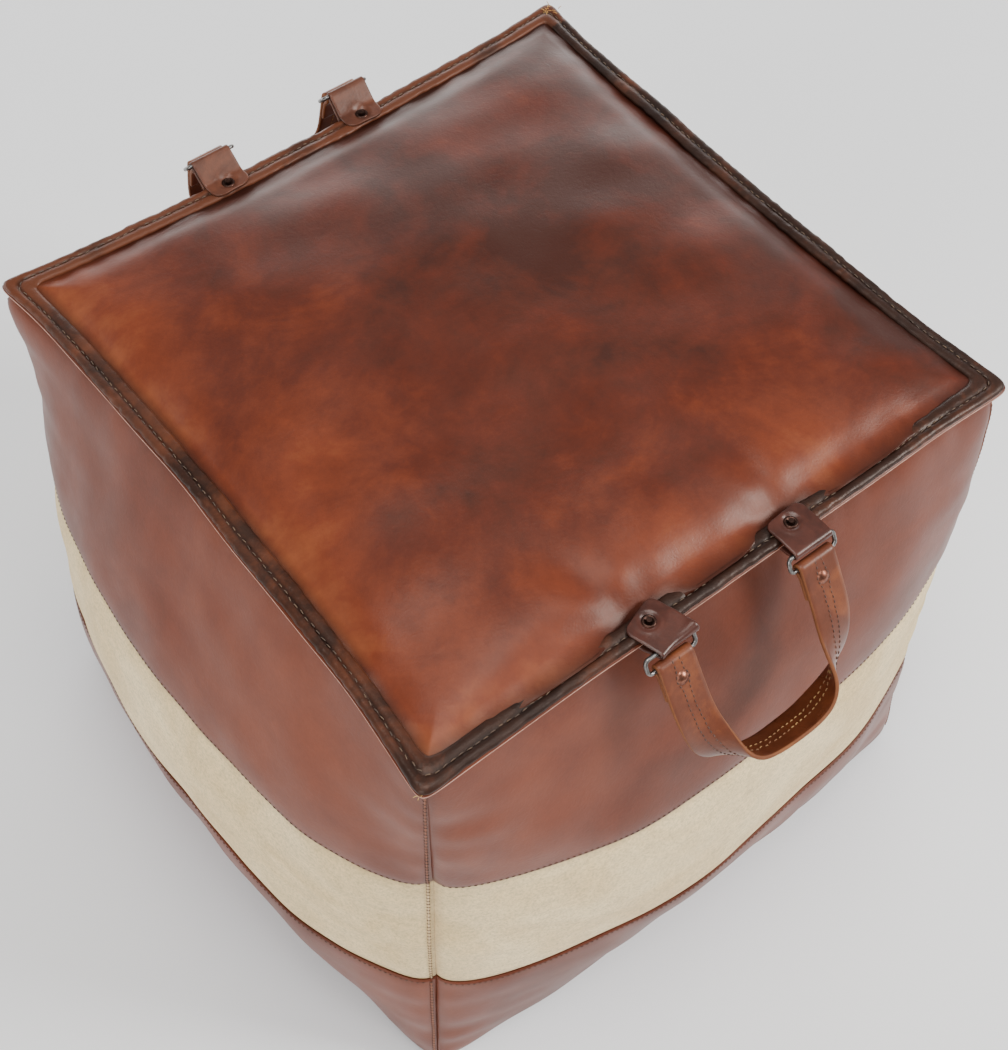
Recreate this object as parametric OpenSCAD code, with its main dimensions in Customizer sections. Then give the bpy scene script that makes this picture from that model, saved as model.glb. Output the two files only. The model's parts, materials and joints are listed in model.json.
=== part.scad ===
// Stuffed leather floor pouf: a bulging cube with a suede band, a bound top edge,
// two carrying handles hung on wire rings, and a zip in the base.
// X runs along the handle edges, -Y is the front, the base rests on Z = 0.

/* [Body] */
// Height of the flat edge around the top, floor to upper face
edge_height = 444; // [420:1:470]
// Half of the width at the corners, at the base seam
base_corner = 220; // [210:1:230]
// Half of the width at the middle of a side, at the base seam
base_middle = 231; // [226:1:240]
// Height of the base seam above the floor
seam_lift = 8; // [4:1:14]
// How far the corners draw in at mid height
corner_waist = 4.5; // [0:0.5:10]
// How far the top swells above its flat edge
crown = 24; // [10:1:40]
// Thickness of the body leather and suede
leather_t = 1.6; // [1.2:0.1:2.4]

/* [Suede band] */
// Height of the seam under the suede band
band_low = 139; // [120:1:160]
// Height of the seam over the suede band
band_high = 283; // [260:1:300]

/* [Top edge] */
// Half width of the top at its corner tips
edge_tip = 217; // [212:1:224]
// Width of the flat edge
edge_w = 12.5; // [10:0.5:16]
// Thickness of the binding strip
binding_t = 1; // [0.8:0.1:1.4]

/* [Handles] */
// Middle of both handles along X
handle_x = -7.5; // [-10:0.5:10]
// Distance between the two rings of a handle
ring_spacing = 105; // [95:1:120]
// Wire diameter of the rings
wire_d = 2.6; // [2:0.1:3]
// Wire centre to wire centre across a ring
ring_w = 34; // [32:1:38]
// Wire centre to wire centre down a ring
ring_h = 9.5; // [9:0.5:16]
// Width of the leather tabs
tab_w = 28; // [24:0.5:30]
// Thickness of the tab leather
tab_t = 1.7; // [1.2:0.1:2.2]
// Width of the handle strap
strap_w = 25.4; // [20:0.1:28]
// Thickness of the handle strap
strap_t = 2.6; // [2:0.1:3.4]
// Drop of the handle loop below its ring bar
loop_drop = 86; // [70:1:100]
// Outward lean of the resting rings, front and back
ring_lean = [30, 45];
// Outward lean of the resting straps, front and back
strap_lean = [33, 14];

/* [Zip] */
// Length of the row of zip teeth
zip_length = 300; // [240:6:312]
// Distance from one tooth to the next
tooth_pitch = 3; // [2.5:0.5:4]
// Height of the middle of the teeth above the floor
zip_z = 6.3; // [6.2:0.1:6.8]

/* [Hidden] */
// The sides are listed in the order front, right, back, left.
SIDES = ["front", "right", "back", "left"];
side_bulge = [50, 52, 50, 57];
edge_middle = [edge_tip, edge_tip - 7, edge_tip - 9, edge_tip - 8];
top_corner = edge_tip - edge_w + 0.5;
binding_clear = 1.5;
liner_t = 1;
layer_gap = 0.2;
fullness = 0.7;
crown_fullness = 0.55;

// Levels of the flat edge: its middle, and its two leather layers around it.
edge_half_t = leather_t + binding_t;
edge_mid_z = edge_height - edge_half_t;
wall_top = edge_mid_z - leather_t;

// Grid steps across a face, as angles: they crowd towards the corners, and the two
// middle pairs carry the channel over the zip.
channel_top = 4;
channel_foot = 8;
half_steps = [channel_top, channel_foot, 25, 42, 58, 74, 90];
angles = concat([for (i = [len(half_steps) - 1:-1:0]) -half_steps[i]], half_steps);
steps = [for (a = angles) sin(a)];
LAST = len(steps) - 1;
// The base is flat inside this fraction and curves up to its seam outside it.
toe_from = steps[LAST - 1];

// The slit for the zip: half its width and length, and the stretch past its ends where
// the leather comes down to the floor again.
slit_half = 6.5;
slit_reach = zip_length / 2 + 6;
rise_end = steps[LAST - 3];
rise_start = steps[LAST - 2];
// Lift of the base panels up to the tapes, and of the liner clear over the slider.
panel_lift = zip_z - 0.35 - leather_t;
liner_lift = zip_z + 2.9 - leather_t - layer_gap;

// Zip parts.
tape_t = 0.7;
tape_w = 13;
tooth_t = 2.2;
tooth_w = 2.85;
row_gap = 0.35;
slider_l = 11;
slider_half_w = 5.6;
plate_t = 1.1;
play = 0.25;
pull_pin_r = 0.7;
pull_l = 24;
pull_w = 6;
pull_x = slider_l * 0.2;
slider_x = zip_length / 2 - slider_l / 2 - 1;
plate_z = tooth_t / 2 + play;
pull_drop = plate_z + plate_t + 1.75;

// Tabs, rings and rivets. Front handles are mirror images, so Y means outward here.
wire_r = wire_d / 2;
bore_r = wire_r + 0.08;
tab_r = bore_r + tab_t;
strap_r = bore_r + strap_t;
tab_reach = [10, 17];
tab_rise = [0, 45];
edge_y = [edge_middle[0] + 0.4, edge_middle[2] + 0.8];
tab_tail = 14;
tab_under = 11;
rivet_inset = 6.4;
shank_r = 1.5;
hole_r = 1.6;
rivet_head_r = 4.4;
rivet_dome = 1.9;
strap_rivet_z = -11;
strap_tail_z = -21;
ribbon_z = -16;
ring_x = [handle_x - ring_spacing / 2, handle_x + ring_spacing / 2];
ribbon_steps = 28;

BURNISHED = "#7a3b1e";
SIDE_BROWN = "#86492f";
SUEDE = "#d7c8a6";
DARK = "#3a2118";
STRAP = "#94552b";
NICKEL = "#77716b";

// ---- Shape of the stuffed body ----

function lerp(a, b, t) = a + (b - a) * t;
function swell(u, power) = pow(max(0, 1 - u * u), power);
function climb(z) = (z - seam_lift) / (wall_top - seam_lift);

// A level is [corner half width, [half width at the middle of each side]].
function body_level(z) =
    let (t = min(1, climb(z)))
    [
        lerp(base_corner, top_corner, t) - corner_waist * sin(180 * t),
        [for (k = [0:3]) lerp(base_middle, edge_middle[k] - edge_w, t) + side_bulge[k] * sin(180 * t)]
    ];
function edge_level(inset) = [edge_tip - inset, [for (m = edge_middle) m - inset]];

// Point of a level, where u and w run from -1 to 1 across X and Y.
function plan_point(u, w, level, inset = 0) =
    let (
        corner = level[0],
        mid_x = level[1][u < 0 ? 3 : 1],
        mid_y = level[1][w < 0 ? 0 : 2]
    )
    [
        u * (corner - inset + (mid_x - corner) * swell(w, fullness)),
        w * (corner - inset + (mid_y - corner) * swell(u, fullness))
    ];
function at_height(p, z) = [p[0], p[1], z];

// Place on the wall of side k at fraction u, counted to the right seen from outside.
function side_uw(k, u) = [[u, -1], [1, u], [-u, 1], [-1, -u]][k];
function wall_point(k, u, level, inset, z) =
    let (q = side_uw(k, u))
    at_height(plan_point(q[0], q[1], level, inset), z);

function crown_z(u, w) = crown * swell(u, crown_fullness) * swell(w, crown_fullness);
function toe_z(u, w) = seam_lift * pow(max(0, (max(abs(u), abs(w)) - toe_from) / (1 - toe_from)), 2);

// The raised channel along the zip slit.
function channel(u, w, lift) =
    let (top = sin(channel_top), foot = sin(channel_foot))
    lift * min(1, max(0, (rise_start - abs(u)) / (rise_start - rise_end)))
        * min(1, max(0, (foot - abs(w)) / (foot - top)));

// ---- Meshes ----

// Closed slab between two grids of points. Seen from outside, columns run to the
// right and rows run up.
module slab(outer, inner) {
    rows = len(outer) - 1;
    cols = len(outer[0]) - 1;
    size = (rows + 1) * (cols + 1);
    function o(i, j) = j * (cols + 1) + i;
    function n(i, j) = size + o(i, j);
    function quad(a, b, c, d) = [[a, b, c], [a, c, d]];
    skins = [for (j = [0:rows - 1], i = [0:cols - 1]) each concat(
        quad(o(i, j), o(i, j + 1), o(i + 1, j + 1), o(i + 1, j)),
        quad(n(i, j), n(i + 1, j), n(i + 1, j + 1), n(i, j + 1))
    )];
    ends = [for (i = [0:cols - 1]) each concat(
        quad(o(i, 0), o(i + 1, 0), n(i + 1, 0), n(i, 0)),
        quad(o(i + 1, rows), o(i, rows), n(i, rows), n(i + 1, rows))
    )];
    flanks = [for (j = [0:rows - 1]) each concat(
        quad(o(0, j + 1), o(0, j), n(0, j), n(0, j + 1)),
        quad(o(cols, j), o(cols, j + 1), n(cols, j + 1), n(cols, j))
    )];
    points = concat([for (row = outer) each row], [for (row = inner) each row]);
    polyhedron(points, concat(skins, ends, flanks));
}

// Closed tube through rings of points; a looped tube joins its last ring to its first.
module tube(rings, looped) {
    count = len(rings);
    sides = len(rings[0]);
    spans = looped ? count : count - 1;
    function p(r, s) = (r % count) * sides + s % sides;
    skin = [for (r = [0:spans - 1], s = [0:sides - 1]) each [
        [p(r, s), p(r, s + 1), p(r + 1, s + 1)],
        [p(r, s), p(r + 1, s + 1), p(r + 1, s)]
    ]];
    caps = looped ? [] : [
        [for (s = [0:sides - 1]) p(0, s)],
        [for (s = [sides - 1:-1:0]) p(count - 1, s)]
    ];
    polyhedron([for (r = rings) each r], concat(skin, caps));
}

// ---- Cover panels ----

module wall_panel(k, heights) {
    slab(
        [for (z = heights) [for (u = steps) wall_point(k, u, body_level(z), 0, z)]],
        [for (z = heights) [for (u = steps)
            wall_point(k, u, body_level(z), leather_t, z == seam_lift ? z + leather_t : z)]]
    );
}

function between(low, high, parts) = [for (i = [0:parts]) lerp(low, high, i / parts)];
lower_rows = between(seam_lift, band_low, 3);
band_rows = between(band_low, band_high, 3);
upper_rows = between(band_high, wall_top, 4);

module lower_panel(k) {
    color(SIDE_BROWN) wall_panel(k, lower_rows);
}

module suede_band(k) {
    color(SUEDE) wall_panel(k, band_rows);
}

// The upper panels turn out at the top and lie in the flat edge under the top panel.
module upper_panel(k) {
    color(SIDE_BROWN) difference() {
        slab(
            concat(
                [for (z = upper_rows) [for (u = steps) wall_point(k, u, body_level(z), 0, z)]],
                [[for (u = steps) wall_point(k, u, edge_level(binding_t), 0, wall_top)]]
            ),
            concat(
                [for (z = upper_rows) [for (u = steps)
                    wall_point(k, u, body_level(z), leather_t, z == wall_top ? edge_mid_z : z)]],
                [[for (u = steps) wall_point(k, u, edge_level(binding_t), 0, edge_mid_z)]]
            )
        );
        tab_rivet_holes();
    }
}

module top_panel() {
    rim = concat([-2], steps, [2]);
    inner_level = body_level(wall_top);
    outer_level = edge_level(binding_t);
    function on_rim(u, w) = max(abs(u), abs(w)) > 1;
    function trim(u) = min(1, max(-1, u));
    function top_point(u, w) =
        on_rim(u, w)
            ? at_height(plan_point(trim(u), trim(w), outer_level), edge_mid_z)
            : at_height(plan_point(u, w, inner_level), edge_mid_z + crown_z(u, w));
    under = [for (w = rim) [for (u = rim) top_point(u, w)]];
    color(BURNISHED) difference() {
        slab([for (row = under) [for (p = row) p + [0, 0, leather_t]]], under);
        tab_rivet_holes();
    }
}

// A leather strip folded over the flat edge all the way round.
module top_binding() {
    inner_level = body_level(wall_top);
    function section(k, u) =
        let (
            inner = wall_point(k, u, inner_level, -binding_clear, 0),
            outer = wall_point(k, u, edge_level(0), 0, 0),
            lining = wall_point(k, u, edge_level(binding_t), 0, 0),
            levels = [edge_half_t, edge_half_t, -edge_half_t, -edge_half_t,
                -leather_t, -leather_t, leather_t, leather_t],
            plan = [inner, outer, outer, inner, inner, lining, lining, inner]
        )
        [for (i = [0:7]) plan[i] + [0, 0, edge_mid_z + levels[i]]];
    color(DARK) difference() {
        tube([for (k = [0:3], i = [0:LAST - 1]) section(k, steps[i])], true);
        tab_rivet_holes();
    }
}

// Each half of the base lifts towards the zip slit, and its outer edge curves up to
// the seam. Both halves meet beyond the ends of the slit.
module base_panel(back) {
    level = body_level(seam_lift);
    rows = concat([0], [for (w = steps) if (w > 0) w]);
    flip = back ? 1 : -1;
    function face_point(u, w, inset) =
        at_height(plan_point(u, flip * w, level, inset), toe_z(u, w) + channel(u, w, panel_lift));
    function over(u, w) = face_point(u, w, leather_t * pow(max(abs(u), w), 8)) + [0, 0, leather_t];
    // Seen from below, the columns run to the right when the rows run away from the slit.
    columns = back ? [for (i = [LAST:-1:0]) steps[i]] : steps;
    color(SIDE_BROWN) difference() {
        slab(
            [for (w = rows) [for (u = columns) face_point(u, w, 0)]],
            [for (w = rows) [for (u = columns) over(u, w)]]
        );
        translate([-slit_reach, -slit_half, -1]) cube([2 * slit_reach, 2 * slit_half, 2 * zip_z]);
    }
}

// ---- Stuffing ----

// The closed bag that lies a given depth inside the outer face of the cover.
module bag(depth) {
    heights = concat(lower_rows, [for (i = [1:len(band_rows) - 1]) band_rows[i]],
        [for (i = [1:len(upper_rows) - 1]) upper_rows[i]]);
    top_z = edge_mid_z + leather_t - depth;
    low_z = seam_lift + depth;
    function wall_z(z) = z == wall_top ? top_z : max(z, low_z);
    function floor_z(u, w) = depth + toe_z(u, w) + channel(u, w, liner_lift);
    walls = [for (k = [0:3]) [for (z = heights) [for (u = steps)
        wall_point(k, u, body_level(z), depth, wall_z(z))]]];
    lid = [for (w = steps) [for (u = steps)
        at_height(plan_point(u, w, body_level(wall_top), depth), top_z + crown_z(u, w))]];
    bottom = [for (w = steps) [for (i = [LAST:-1:0])
        at_height(plan_point(steps[i], w, body_level(seam_lift), depth), floor_z(steps[i], w))]];
    grids = concat(walls, [lid, bottom]);
    starts = [for (g = 0, n = 0; g <= len(grids); n = n + (g < len(grids) ? len(grids[g]) * (LAST + 1) : 0),
        g = g + 1) n];
    faces = [for (g = [0:len(grids) - 1], j = [0:len(grids[g]) - 2], i = [0:LAST - 1])
        let (a = starts[g] + j * (LAST + 1) + i, b = a + LAST + 1)
        each [[a, b, b + 1], [a, b + 1, a + 1]]];
    polyhedron([for (grid = grids) each [for (row = grid) each row]], faces);
}

module inner_liner() {
    color("#cfc9bb") difference() {
        bag(leather_t + layer_gap);
        bag(leather_t + layer_gap + liner_t);
    }
}

module filling() {
    color("#e6e0d2") bag(leather_t + 2 * layer_gap + liner_t);
}

// ---- Zip ----

module zip_tape(flip) {
    color(DARK) translate([-slit_reach, flip > 0 ? tooth_w - 1 : -tooth_w + 1 - tape_w, zip_z - tape_t / 2])
        cube([2 * slit_reach, tape_w, tape_t]);
}

// One row of teeth, each crimped over the edge of its tape.
module zip_teeth(flip) {
    slot = tape_t / 2;
    root = tooth_w + row_gap;
    color(NICKEL) for (i = [0:zip_length / tooth_pitch - 1])
        translate([-zip_length / 2 + tooth_pitch * (i + (flip > 0 ? 0.5 : 0)), 0, zip_z])
            rotate([90, 0, 90])
                linear_extrude(tooth_pitch * 0.45)
                    polygon([for (p = [
                        [row_gap, -tooth_t / 2], [root, -tooth_t / 2], [root, -slot], [tooth_w - 1, -slot],
                        [tooth_w - 1, slot], [root, slot], [root, tooth_t / 2], [row_gap, tooth_t / 2]
                    ]) [flip * p[0], p[1]]]);
}

module zip_stops() {
    stop_l = 2.5;
    color(NICKEL) for (end = [-1, 1])
        translate([end * (zip_length / 2 + 3) - stop_l / 2, -tooth_w - row_gap, zip_z + tape_t / 2])
            cube([stop_l, 2 * (tooth_w + row_gap), 1.2]);
}

// Two plates joined by a thin wedge that runs between the rows, with side rails over
// the tapes and a pin under it for the pull.
module zip_slider() {
    rail_w = 1.9;
    rail_h = plate_z - tape_t / 2 - play;
    web_t = 0.4;
    color(NICKEL) translate([slider_x, 0, zip_z]) {
        for (up = [0, 1]) mirror([0, 0, up]) {
            translate([-slider_l / 2, -slider_half_w, plate_z])
                cube([slider_l, 2 * slider_half_w, plate_t]);
            for (y = [-slider_half_w, slider_half_w - rail_w])
                translate([-slider_l / 2, y, plate_z - rail_h]) cube([slider_l, rail_w, rail_h]);
        }
        translate([-slider_l / 2, -web_t / 2, -plate_z]) cube([slider_l, web_t, 2 * plate_z]);
        translate([pull_x, 0, -pull_drop]) {
            rotate([90, 0, 0]) cylinder(r = pull_pin_r, h = 2 * slider_half_w - 2, center = true, $fn = 32);
            for (y = [-1, 1])
                translate([-pull_pin_r, y * (slider_half_w - 1.4) - 0.6, 0])
                    cube([2 * pull_pin_r, 1.2, pull_drop - plate_z - plate_t]);
        }
    }
}

// Flat pull, lying back along the teeth, with an eye on the slider's pin.
module zip_pull() {
    eye_r = 1.5;
    color(NICKEL) translate([slider_x + pull_x, 0, zip_z - pull_drop])
        difference() {
            union() {
                rotate([90, 0, 0]) cylinder(r = eye_r, h = pull_w, center = true, $fn = 32);
                translate([-pull_l, -pull_w / 2, -eye_r / 2]) cube([pull_l, pull_w, eye_r]);
            }
            rotate([90, 0, 0]) cylinder(r = pull_pin_r + 0.06, h = pull_w + 2, center = true, $fn = 32);
            translate([-pull_l + 4, 0, 0]) cylinder(r = 1.6, h = 2 * eye_r, center = true, $fn = 32);
        }
}

// ---- Handles ----

function outward(a) = [cos(a), sin(a)];
function upward(a) = [-sin(a), cos(a)];

// Side 0 is the front handle and side 1 the back one.
function bar_y(side) = edge_y[side] + tab_reach[side] * cos(tab_rise[side]);
function bar_z(side) = edge_mid_z + tab_reach[side] * sin(tab_rise[side]);
function rivet_y(side) = edge_y[side] - rivet_inset;

module on_side(side) {
    mirror([0, side == 0 ? 1 : 0, 0]) children();
}

// Frame of a tab's wire bar, and frame of the lower bar that the strap hangs on.
module at_bar(side) {
    on_side(side) translate([0, bar_y(side), bar_z(side)]) rotate([ring_lean[side], 0, 0]) children();
}

module at_strap(side) {
    lean = ring_lean[side];
    on_side(side)
        translate([handle_x, bar_y(side) + ring_h * sin(lean), bar_z(side) - ring_h * cos(lean)])
            rotate([strap_lean[side], 0, 0])
                children();
}

module tab_rivet_holes() {
    for (side = [0, 1], x = ring_x)
        on_side(side) translate([x, rivet_y(side), edge_mid_z - 20]) cylinder(r = hole_r, h = 40, $fn = 32);
}

// Leather strip folded round the ring's bar, with one end over the flat edge and the
// other under it.
module tab(side, x) {
    rise = tab_rise[side];
    edge = edge_y[side];
    bar = [bar_y(side), bar_z(side)];
    inner = bore_r * upward(rise);
    outer = tab_r * upward(rise);
    top_z = edge_mid_z + edge_half_t;
    under_z = edge_mid_z - edge_half_t;
    color(BURNISHED) difference() {
        on_side(side) translate([x - tab_w / 2, 0, 0]) rotate([90, 0, 90]) linear_extrude(tab_w) {
            translate([edge - tab_tail, top_z]) square([tab_tail, tab_t]);
            translate([edge - tab_under, under_z - tab_t]) square([tab_under, tab_t]);
            polygon([[edge, top_z], bar + inner, bar + outer, [edge, top_z + tab_t]]);
            polygon([[edge, under_z], [edge, under_z - tab_t], bar - outer, bar - inner]);
            translate(bar) rotate(rise) difference() {
                circle(r = tab_r, $fn = 64);
                circle(r = bore_r, $fn = 64);
                translate([-2 * tab_r, -tab_r]) square([2 * tab_r, 2 * tab_r]);
            }
        }
        tab_rivet_holes();
    }
}

// Domed cap above the leather and a disc with a shank below it, for a stack of leather
// from -grip to 0.
module rivet_cap() {
    curve_r = (rivet_head_r * rivet_head_r + rivet_dome * rivet_dome) / (2 * rivet_dome);
    difference() {
        intersection() {
            translate([0, 0, rivet_dome - curve_r]) sphere(r = curve_r, $fn = 64);
            cylinder(r = rivet_head_r + 1, h = rivet_dome + 1, $fn = 64);
        }
        translate([0, 0, -1]) cylinder(r = shank_r + 0.05, h = 2.1, $fn = 32);
    }
}

module rivet_post(grip) {
    disc_t = 0.9;
    translate([0, 0, -grip - disc_t]) cylinder(r = rivet_head_r - 0.4, h = disc_t, $fn = 64);
    translate([0, 0, -grip]) cylinder(r = shank_r, h = grip + 1, $fn = 32);
}

module at_tab_rivets(side) {
    on_side(side) for (x = ring_x)
        translate([x, rivet_y(side), edge_mid_z + edge_half_t + tab_t]) children();
}

module tab_rivet_caps(side) {
    color(DARK) at_tab_rivets(side) rivet_cap();
}

module tab_rivet_posts(side) {
    color(DARK) at_tab_rivets(side) rivet_post(2 * (edge_half_t + tab_t));
}

// Wire ring: four straight bars and four round corners.
module ring(side, x) {
    corner = 3;
    half = ring_w / 2 - corner;
    color(NICKEL) at_bar(side) translate([x, 0, 0]) {
        for (z = [0, -ring_h])
            translate([-half, 0, z]) rotate([0, 90, 0]) cylinder(r = wire_r, h = 2 * half, $fn = 48);
        for (sx = [-1, 1])
            translate([sx * ring_w / 2, 0, -ring_h + corner])
                cylinder(r = wire_r, h = ring_h - 2 * corner, $fn = 48);
        for (turn = [0:3])
            translate([(turn == 1 || turn == 2 ? -1 : 1) * half, 0, turn < 2 ? -corner : corner - ring_h])
                rotate([90, 0, 0])
                    rotate([0, 0, turn * 90])
                        rotate_extrude(angle = 90, $fn = 64)
                            translate([corner, 0]) circle(r = wire_r, $fn = 48);
    }
}

// The strap is a ribbon that hangs in a loop. It faces outward at its ends and turns
// edge on at the bottom of the loop.
function loop_side(c) = sign(c) * pow(abs(c), 0.7);
function loop_point(a) = [
    -ring_spacing / 2 * loop_side(cos(a)),
    bore_r + strap_t / 2,
    ribbon_z - (loop_drop + ribbon_z) * loop_side(sin(a))
];
function loop_run(a) =
    a <= 0 ? [0, 0, -1]
        : a >= 180 ? [0, 0, 1]
        : let (d = loop_point(a + 0.5) - loop_point(a - 0.5)) d / norm(d);
function ease(t) = let (s = min(1, max(0, t))) s * s * (3 - 2 * s);
function ribbon_turn(a) = 90 * ease((min(a, 180 - a) - 6) / 68);
function ribbon_section(a) =
    let (
        run = loop_run(a),
        inward = [-run[2], 0, run[0]],
        across = cos(ribbon_turn(a)) * inward + sin(ribbon_turn(a)) * [0, 1, 0],
        face = cross(run, across),
        half_w = across * strap_w / 2,
        half_t = face * strap_t / 2,
        p = loop_point(a)
    )
    [p - half_w - half_t, p + half_w - half_t, p + half_w + half_t, p - half_w + half_t];

// Folded end of the strap: round the bar, then a tail behind that the rivet holds.
module strap_end() {
    bend_z = -5.2;
    tail = bore_r - layer_gap;
    translate([-strap_w / 2, 0, 0]) rotate([90, 0, 90]) linear_extrude(strap_w) {
        translate([bore_r, ribbon_z]) square([strap_t, -ribbon_z]);
        polygon([
            [-bore_r, 0], [-strap_r, 0], [-strap_r, -1], [tail - strap_t, bend_z - 1],
            [tail - strap_t, strap_tail_z], [tail, strap_tail_z], [tail, bend_z], [-bore_r, -1]
        ]);
        difference() {
            circle(r = strap_r, $fn = 64);
            circle(r = bore_r, $fn = 64);
            translate([-2 * strap_r, -2 * strap_r]) square([4 * strap_r, 2 * strap_r]);
        }
    }
}

module at_strap_rivets(side) {
    at_strap(side) for (sx = [-1, 1])
        translate([sx * ring_spacing / 2, strap_r, strap_rivet_z]) rotate([-90, 0, 0]) children();
}

module handle_strap(side) {
    color(STRAP) difference() {
        at_strap(side) {
            for (sx = [-1, 1]) translate([sx * ring_spacing / 2, 0, 0]) strap_end();
            tube([for (i = [0:ribbon_steps]) ribbon_section(180 * i / ribbon_steps)], false);
        }
        at_strap_rivets(side) translate([0, 0, -20]) cylinder(r = hole_r, h = 40, $fn = 32);
    }
}

module handle_rivet_caps(side) {
    color("#8a5a3c") at_strap_rivets(side) rivet_cap();
}

module handle_rivet_posts(side) {
    color("#8a5a3c") at_strap_rivets(side) rivet_post(2 * strap_t + layer_gap);
}

top_panel();
top_binding();
for (k = [0:3]) {
    upper_panel(k);
    suede_band(k);
    lower_panel(k);
}
base_panel(false);  // base_panel_front
base_panel(true);  // base_panel_back
zip_tape(-1);  // zip_tape_front
zip_tape(1);  // zip_tape_back
zip_teeth(-1);  // zip_teeth_front
zip_teeth(1);  // zip_teeth_back
zip_stops();
zip_slider();
zip_pull();
inner_liner();
filling();
tab(0, ring_x[0]);  // front_left_tab
tab(0, ring_x[1]);  // front_right_tab
tab(1, ring_x[0]);  // back_left_tab
tab(1, ring_x[1]);  // back_right_tab
tab_rivet_caps(0);  // front_tab_rivet_caps
tab_rivet_posts(0);  // front_tab_rivet_posts
tab_rivet_caps(1);  // back_tab_rivet_caps
tab_rivet_posts(1);  // back_tab_rivet_posts
ring(0, ring_x[0]);  // front_left_ring
ring(0, ring_x[1]);  // front_right_ring
ring(1, ring_x[0]);  // back_left_ring
ring(1, ring_x[1]);  // back_right_ring
handle_strap(0);  // front_handle_strap
handle_strap(1);  // back_handle_strap
handle_rivet_caps(0);  // front_handle_rivet_caps
handle_rivet_posts(0);  // front_handle_rivet_posts
handle_rivet_caps(1);  // back_handle_rivet_caps
handle_rivet_posts(1);  // back_handle_rivet_posts
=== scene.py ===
"""Leather floor pouf: the looks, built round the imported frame.

Lengths in the helpers are millimetres; MM turns them into Blender's metres. Sides are
listed in the order front (-Y), right (+X), back (+Y), left (-X).
"""
import json
import math

import bmesh
import bpy
import numpy as np
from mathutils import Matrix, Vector


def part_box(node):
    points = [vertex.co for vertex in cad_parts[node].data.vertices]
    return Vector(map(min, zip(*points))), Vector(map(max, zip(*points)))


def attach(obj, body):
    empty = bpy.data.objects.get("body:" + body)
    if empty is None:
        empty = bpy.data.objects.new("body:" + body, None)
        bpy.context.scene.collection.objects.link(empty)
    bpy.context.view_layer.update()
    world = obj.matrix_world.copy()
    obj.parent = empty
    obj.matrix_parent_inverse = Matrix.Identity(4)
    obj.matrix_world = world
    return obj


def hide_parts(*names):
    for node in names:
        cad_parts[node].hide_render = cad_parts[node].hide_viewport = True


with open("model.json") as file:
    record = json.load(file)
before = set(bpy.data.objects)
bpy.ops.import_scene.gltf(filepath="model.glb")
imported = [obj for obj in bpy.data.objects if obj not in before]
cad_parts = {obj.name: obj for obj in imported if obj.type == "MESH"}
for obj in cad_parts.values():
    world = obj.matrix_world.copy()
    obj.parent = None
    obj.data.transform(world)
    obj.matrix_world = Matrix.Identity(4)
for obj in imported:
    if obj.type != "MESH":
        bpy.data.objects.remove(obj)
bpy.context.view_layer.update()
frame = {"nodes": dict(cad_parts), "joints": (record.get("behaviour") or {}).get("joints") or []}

MM = 0.001
SIDES = ("front", "right", "back", "left")


def box_mm(node):
    low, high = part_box(node)
    return np.array(low) / MM, np.array(high) / MM


JOINT_AT = {j["name"]: np.array(j["pos_m"]) / MM for j in frame["joints"] if "pos_m" in j}

# ---- Sizes: levels come from the frame, proportions are the design's own ----

SEAM_LOW = box_mm("lower_panel_front")[0][2]
BAND_LOW = box_mm("suede_band_front")[0][2]
BAND_HIGH = box_mm("suede_band_front")[1][2]
EDGE_TOP = box_mm("top_binding")[1][2]
EDGE_LOW = box_mm("top_binding")[0][2]
EDGE_MID = (EDGE_TOP + EDGE_LOW) / 2
EDGE_TIP = box_mm("top_binding")[1][0]
LEATHER = 1.6
WALL_TOP = EDGE_MID - LEATHER
EDGE_W = 12.5
BASE_CORNER, BASE_MIDDLE, TOP_CORNER = 220, 231, EDGE_TIP - EDGE_W + 0.5
CORNER_WAIST = 4.5
SIDE_BULGE = (50, 52, 50, 57)
EDGE_MIDDLE = (EDGE_TIP, EDGE_TIP - 7, EDGE_TIP - 9, EDGE_TIP - 8)
FULLNESS, CROWN_FULLNESS = 0.7, 0.55
# The left back and right front corners are stuffed out further, most of all at the top.
EAR, EAR_TOP, EAR_FOOT, EAR_WAIST = 6.6, 4.6, 7.0, 5.0
CROWN = box_mm("top_panel")[1][2] - EDGE_MID - LEATHER


# ---- The stuffed shape ----

def lerp(a, b, t):
    return a + (b - a) * t


def swell(u, power):
    return np.clip(1 - u * u, 0, None) ** power


def ease(t):
    t = np.clip(t, 0, 1)
    return t * t * (3 - 2 * t)


def body_level(z):
    """Corner half width, and the half width at the middle of each side, at height z."""
    t = np.clip((z - SEAM_LOW) / (WALL_TOP - SEAM_LOW), 0, 1)
    arch = np.sin(math.pi * t)
    corner = lerp(BASE_CORNER, TOP_CORNER, t) - CORNER_WAIST * arch
    middles = [lerp(BASE_MIDDLE, EDGE_MIDDLE[k] - EDGE_W, t) + SIDE_BULGE[k] * arch for k in range(4)]
    return corner, middles


def edge_level(inset):
    return EDGE_TIP - inset, [m - inset for m in EDGE_MIDDLE]


def plan_point(u, w, level, inset=0.0):
    corner, (front, right, back, left) = level
    mid_x = np.where(u < 0, left, right)
    mid_y = np.where(w < 0, front, back)
    x = u * (corner - inset + (mid_x - corner) * swell(w, FULLNESS))
    y = w * (corner - inset + (mid_y - corner) * swell(u, FULLNESS))
    return x, y


def side_uw(k, u):
    one = np.ones_like(u)
    return ((u, -one), (one, u), (-u, one), (-one, -u))[k]


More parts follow.
